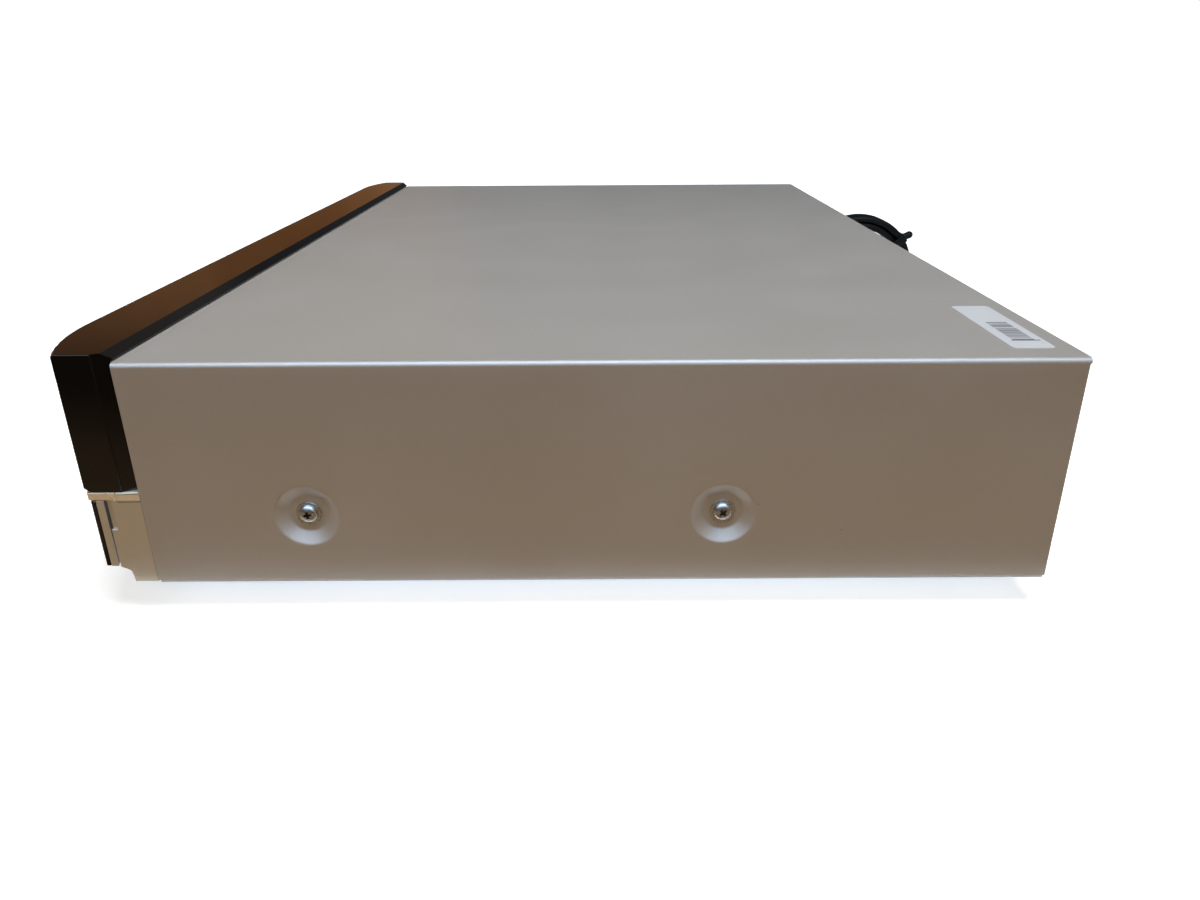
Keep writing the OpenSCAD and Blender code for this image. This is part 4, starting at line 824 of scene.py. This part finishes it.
def screwHead(bm, place, length):
    # a domed head with a cross recess; Z points out of the case
    head = bmesh.new()
    line = [head.verts.new((r, 0, z)) for r, z in screw["outline"]]
    edges = [head.edges.new(pair) for pair in zip(line, line[1:])]
    bmesh.ops.spin(head, geom=line + edges, cent=(0, 0, 0), axis=(0, 0, 1), dvec=(0, 0, 0),
                   angle=2 * pi, steps=32, use_merge=True)
    bmesh.ops.remove_doubles(head, verts=head.verts, dist=0.001)
    bmesh.ops.recalc_face_normals(head, faces=head.faces)
    half = screw["slotWidth"]
    for normal in ((1, 0, 0), (0, 1, 0)):
        for at in (-half, half):
            cutAcross(head, allGeometry(head), normal, at)
    cross = []
    for face in head.faces:
        c = face.calc_center_median()
        near, far = sorted((abs(c.x), abs(c.y)))
        if c.z > screw["slotFrom"] and near < half and far < screw["slotReach"]:
            cross.append(face)
    walls = bmesh.ops.inset_region(head, faces=cross, thickness=screw["slotDraft"],
                                   depth=-screw["slotDepth"], use_even_offset=True)["faces"]
    # the cross and its walls take a dark finish: painted shade inside the recess
    for face in cross + walls:
        face.material_index = 1
    # the shank below the washer
    rim = [e for e in head.edges if e.is_boundary]
    neck = bmesh.ops.extrude_edge_only(head, edges=rim)["geom"]
    inward = screw["shankR"] / screw["outline"][0][0]
    bmesh.ops.scale(head, vec=(inward, inward, 1), verts=vertsIn(neck))
    tip = bmesh.ops.extrude_edge_only(head, edges=openEdgesIn(neck))["geom"]
    bmesh.ops.translate(head, vec=(0, 0, -length), verts=vertsIn(tip))
    bmesh.ops.contextual_create(head, geom=openEdgesIn(tip))
    bmesh.ops.recalc_face_normals(head, faces=head.faces)
    bmesh.ops.transform(head, matrix=place, verts=head.verts)
    part = bpy.data.meshes.new("part")
    head.to_mesh(part)
    head.free()
    bm.from_mesh(part)
    bpy.data.meshes.remove(part)


def caseScrews():
    bm = bmesh.new()
    for side, turns in screw["sideTurns"].items():
        for (y, z), turn in zip(lid["dimpleAt"], turns):
            at = Matrix.Translation((side * (halfW - screw["seatIn"]), y, z))
            out = Matrix.Rotation(side * pi / 2, 4, "Y") @ Matrix.Rotation(radians(turn), 4, "Z")
            screwHead(bm, at @ out, screw["sideLength"])
    for x, z, turn in screw["rearAt"]:
        at = Matrix.Translation((x, screw["rearY"], z))
        out = Matrix.Rotation(-pi / 2, 4, "X") @ Matrix.Rotation(radians(turn), 4, "Z")
        screwHead(bm, at @ out, screw["rearLength"])
    piece = makePiece(bm, "screwSet", ["case_screws"], sharpAt=42)
    # the dark finish painted into the cross recesses as shade
    piece.data.materials.append(finishes["recess"])


caseScrews()
print("screws made")


def lidSticker():
    low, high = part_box("asset_label")
    bm = bmesh.new()
    size = (high - low) / mm
    middle = toFrame.inverted() @ ((low + high) / 2)
    bmesh.ops.create_grid(bm, x_segments=1, y_segments=1, size=0.5)
    bmesh.ops.scale(bm, vec=(size.x, size.y, 1), verts=bm.verts)
    bmesh.ops.bevel(bm, geom=bm.verts[:], offset=sticker["corner"], offset_type="OFFSET",
                    segments=6, profile=0.5, affect="VERTICES", material=-1)
    raised = bmesh.ops.extrude_face_region(bm, geom=bm.faces[:])["geom"]
    bmesh.ops.translate(bm, vec=(0, 0, size.z), verts=vertsIn(raised))
    bmesh.ops.recalc_face_normals(bm, faces=bm.faces)
    bmesh.ops.translate(bm, vec=(middle.x, middle.y, middle.z - size.z / 2), verts=bm.verts)
    makePiece(bm, "lidSticker", ["asset_label"], sharpAt=30)


lidSticker()
print("sticker made")


studio = {
    "ambient": 0.16,
    "ambientTint": (1.0, 0.90, 0.78),
    "floorSize": (12, 12),
    "floorTint": (0.28, 0.155, 0.06),  # what a pale wooden floor throws back
    "floorGlow": (0.80, 0.90, 1.0),
    "floorLift": (0.66, 1.16),  # the glow's strength near the case and far from it
    "floorFade": (0.25, 0.9),
}


def backgroundRays(start):
    # 1 for the rays that show the white background: seen directly, mirrored or through glass
    rays = [start.node("ShaderNodeLightPath", output=name)
            for name in ("Is Camera Ray", "Is Glossy Ray", "Is Transmission Ray")]
    return start.maths("MINIMUM", rays[0] + rays[1] + rays[2], 1.0)


def stageBoard(name, size, turn, axis, place, shaderOf, hiddenFrom=()):
    # a flat board that is no part of the object, with a shader of its own
    bm = bmesh.new()
    bmesh.ops.create_grid(bm, x_segments=1, y_segments=1, size=0.5)
    bmesh.ops.scale(bm, vec=(size[0], size[1], 1), verts=bm.verts)
    bmesh.ops.rotate(bm, cent=(0, 0, 0), matrix=Matrix.Rotation(turn, 3, axis), verts=bm.verts)
    bmesh.ops.translate(bm, vec=place, verts=bm.verts)
    mesh = bpy.data.meshes.new(name)
    bm.to_mesh(mesh)
    bm.free()
    board = bpy.data.objects.new(name, mesh)
    scene.collection.objects.link(board)
    for kind in hiddenFrom:
        setattr(board, "visible_" + kind, False)
    material = bpy.data.materials.new(name)
    material.use_nodes = True
    tree = material.node_tree
    tree.nodes.clear()
    start = Wire(tree)
    where = start.node("ShaderNodeTexCoord", output="Object")
    out = tree.nodes.new("ShaderNodeOutputMaterial")
    tree.links.new(shaderOf(start, where).socket, out.inputs[0])
    mesh.materials.append(material)


def floorShader(start, where):
    white = backgroundRays(start)
    board = start.node("ShaderNodeBsdfDiffuse", None,
                       {0: white.mixed(colour(studio["floorTint"]), (1, 1, 1, 1))})
    distance = start.node("ShaderNodeVectorMath", {"operation": "LENGTH"}, {0: where},
                          output="Value")
    near, far = studio["floorLift"]
    glow = distance.smoothStep(*studio["floorFade"]) * (far - near) + near
    lift = start.node("ShaderNodeEmission", None,
                      {0: colour(studio["floorGlow"]), 1: white * glow})
    return start.node("ShaderNodeAddShader", None, {0: board, 1: lift})


def glossBoard(name, size, turn, axis, place, paint):
    # a glowing board that only shows in gloss, as a room's walls and table do
    def glow(start, where):
        return start.node("ShaderNodeEmission", None, {0: paint(start, where)})
    stageBoard(name, size, turn, axis, place, glow,
               ("camera", "diffuse", "transmission", "volume_scatter", "shadow"))


def lightWorld():
    world = bpy.data.worlds.new("studio")
    scene.world = world
    world.use_nodes = True
    tree = world.node_tree
    background = tree.nodes["Background"]
    white = backgroundRays(Wire(tree))
    strength = white * (1 - studio["ambient"]) + studio["ambient"]
    tree.links.new(strength.socket, background.inputs["Strength"])
    tint = white.mixed(colour(studio["ambientTint"]), (1, 1, 1, 1))
    tree.links.new(tint.socket, background.inputs["Color"])


def addLamp(name, place, aim, size, power, tint):
    lamp = bpy.data.lights.new(name, "AREA")
    lamp.shape = "RECTANGLE"
    lamp.size, lamp.size_y = size
    lamp.energy = power
    lamp.color = tint
    holder = bpy.data.objects.new(name, lamp)
    scene.collection.objects.link(holder)
    holder.location = place
    holder.visible_camera = False
    holder.visible_glossy = False  # the boards give the gloss
    holder.rotation_euler = (Vector(aim) - Vector(place)).to_track_quat("-Z", "Y").to_euler()


room = {
    "brownLow": (0.21, 0.088, 0.032),
    "brownHigh": (0.37, 0.178, 0.075),
    "brownTop": (0.075, 0.036, 0.018),
    "beyond": (0.045, 0.052, 0.06),
    "above": (0.12, 0.12, 0.12),
    "tableShade": (0.05, 0.032, 0.018),
    "tableNear": (0.34, 0.23, 0.125),
    "tableFar": (0.035, 0.033, 0.033),
    "frontLow": (0.10, 0.08, 0.07),
    "frontHigh": (0.17, 0.15, 0.14),
    "windowLow": (0.9, 1.35, 2.0),  # a cool window, which the folds and the screws show
    "windowHigh": (1.2, 1.75, 2.5),
    "skylight": 3.6,
    "behind": (0.17, 0.12, 0.075),
    "rear": (0.30, 0.285, 0.27),
}


def roomColour(name, factor=1.0):
    return colour(room[name], factor)


def cloud(start, where, scale, detail):
    return start.node("ShaderNodeTexNoise", None,
                      {"Vector": where, "Scale": scale, "Detail": detail})


def cloudPaint(low, high, scale=1.5):
    # soft clouds between two colours
    def paint(start, where):
        return cloud(start, where, scale, 2.0).smoothStep(0.3, 0.7).mixed(low, high)
    return paint


def evenPaint(name):
    return cloudPaint(roomColour(name, 0.8), roomColour(name, 1.2))


def windowPaint(power=1.0):
    return cloudPaint(roomColour("windowLow", power), roomColour("windowHigh", power), 2.0)


def wallPaint(start, where):
    # brown beyond the front, dim beyond the lid, lighter above
    y = start.node("ShaderNodeSeparateXYZ", None, {0: where}, output="Y")
    z = start.node("ShaderNodeSeparateXYZ", None, {0: where}, output="Z")
    brown = cloud(start, where, 2.5, 3.0).smoothStep(0.35, 0.65).mixed(
        roomColour("brownLow"), roomColour("brownHigh"))
    brown = z.smoothStep(0.36, 0.60).mixed(brown, roomColour("brownTop"))
    low = y.smoothStep(-0.34, -0.22).mixed(brown, roomColour("beyond"))
    return z.smoothStep(0.66, 0.80).mixed(low, roomColour("above"))


def tablePaint(start, where):
    # dark under the case, brighter beside it
    x = start.node("ShaderNodeSeparateXYZ", None, {0: where}, output="X")
    wavering = x + (cloud(start, where, 9.0, 3.0) - 0.5) * 0.1
    lit = wavering.smoothStep(0.28, 0.44).mixed(roomColour("tableNear"), roomColour("tableFar"))
    return x.smoothStep(0.225, 0.262).mixed(roomColour("tableShade"), lit)


frontPaint = cloudPaint(roomColour("frontLow"), roomColour("frontHigh"), 3.0)

# place, aim, size, power and colour
lamps = {
    "overhead": ((0.27, 0.06, 0.92), (0.12, 0, 0), (0.4, 0.6), 6.7, (1.0, 0.97, 0.95)),
    "sideFill": ((1.35, -0.25, 0.88), (0.2, 0, 0.04), (0.9, 0.7), 4.7, (1.0, 0.56, 0.10)),
}
# size, turn in degrees, its axis, place and paint
boards = {
    "window": ((1.6, 2.6), 50, "Y", (1.35, -0.3, 1.15), windowPaint()),
    "skylight": ((0.8, 1.8), 0, "Y", (0.75, 0.0, 1.35), windowPaint(room["skylight"])),
    "ceiling": ((2.4, 3.6), 0, "Y", (-0.9, -0.1, 1.6), evenPaint("above")),
    "farWall": ((1.6, 3.6), 90, "Y", (-1.3, -0.3, 0.8), wallPaint),
    "nearTable": ((1.6, 3.0), 0, "Y", (1.03, 0, 0.002), tablePaint),
    "frontTable": ((1.4, 1.3), 0, "Y", (-0.45, -0.86, 0.002), frontPaint),
    "rearWall": ((2.6, 1.2), 90, "X", (0.4, 1.5, 0.6), evenPaint("rear")),
    "frontWall": ((2.6, 1.0), 90, "X", (0.4, -1.3, 0.5), frontPaint),
    "behind": ((1.2, 3.6), 90, "Y", (2.2, 0, 0.6), evenPaint("behind")),
}

stageBoard("floor", studio["floorSize"], 0, "Y", (0, 0, 0), floorShader)
lightWorld()
for name, facts in lamps.items():
    addLamp(name, *facts)
for name, (size, turn, axis, place, paint) in boards.items():
    glossBoard(name, size, radians(turn), axis, place, paint)
print("studio lit")
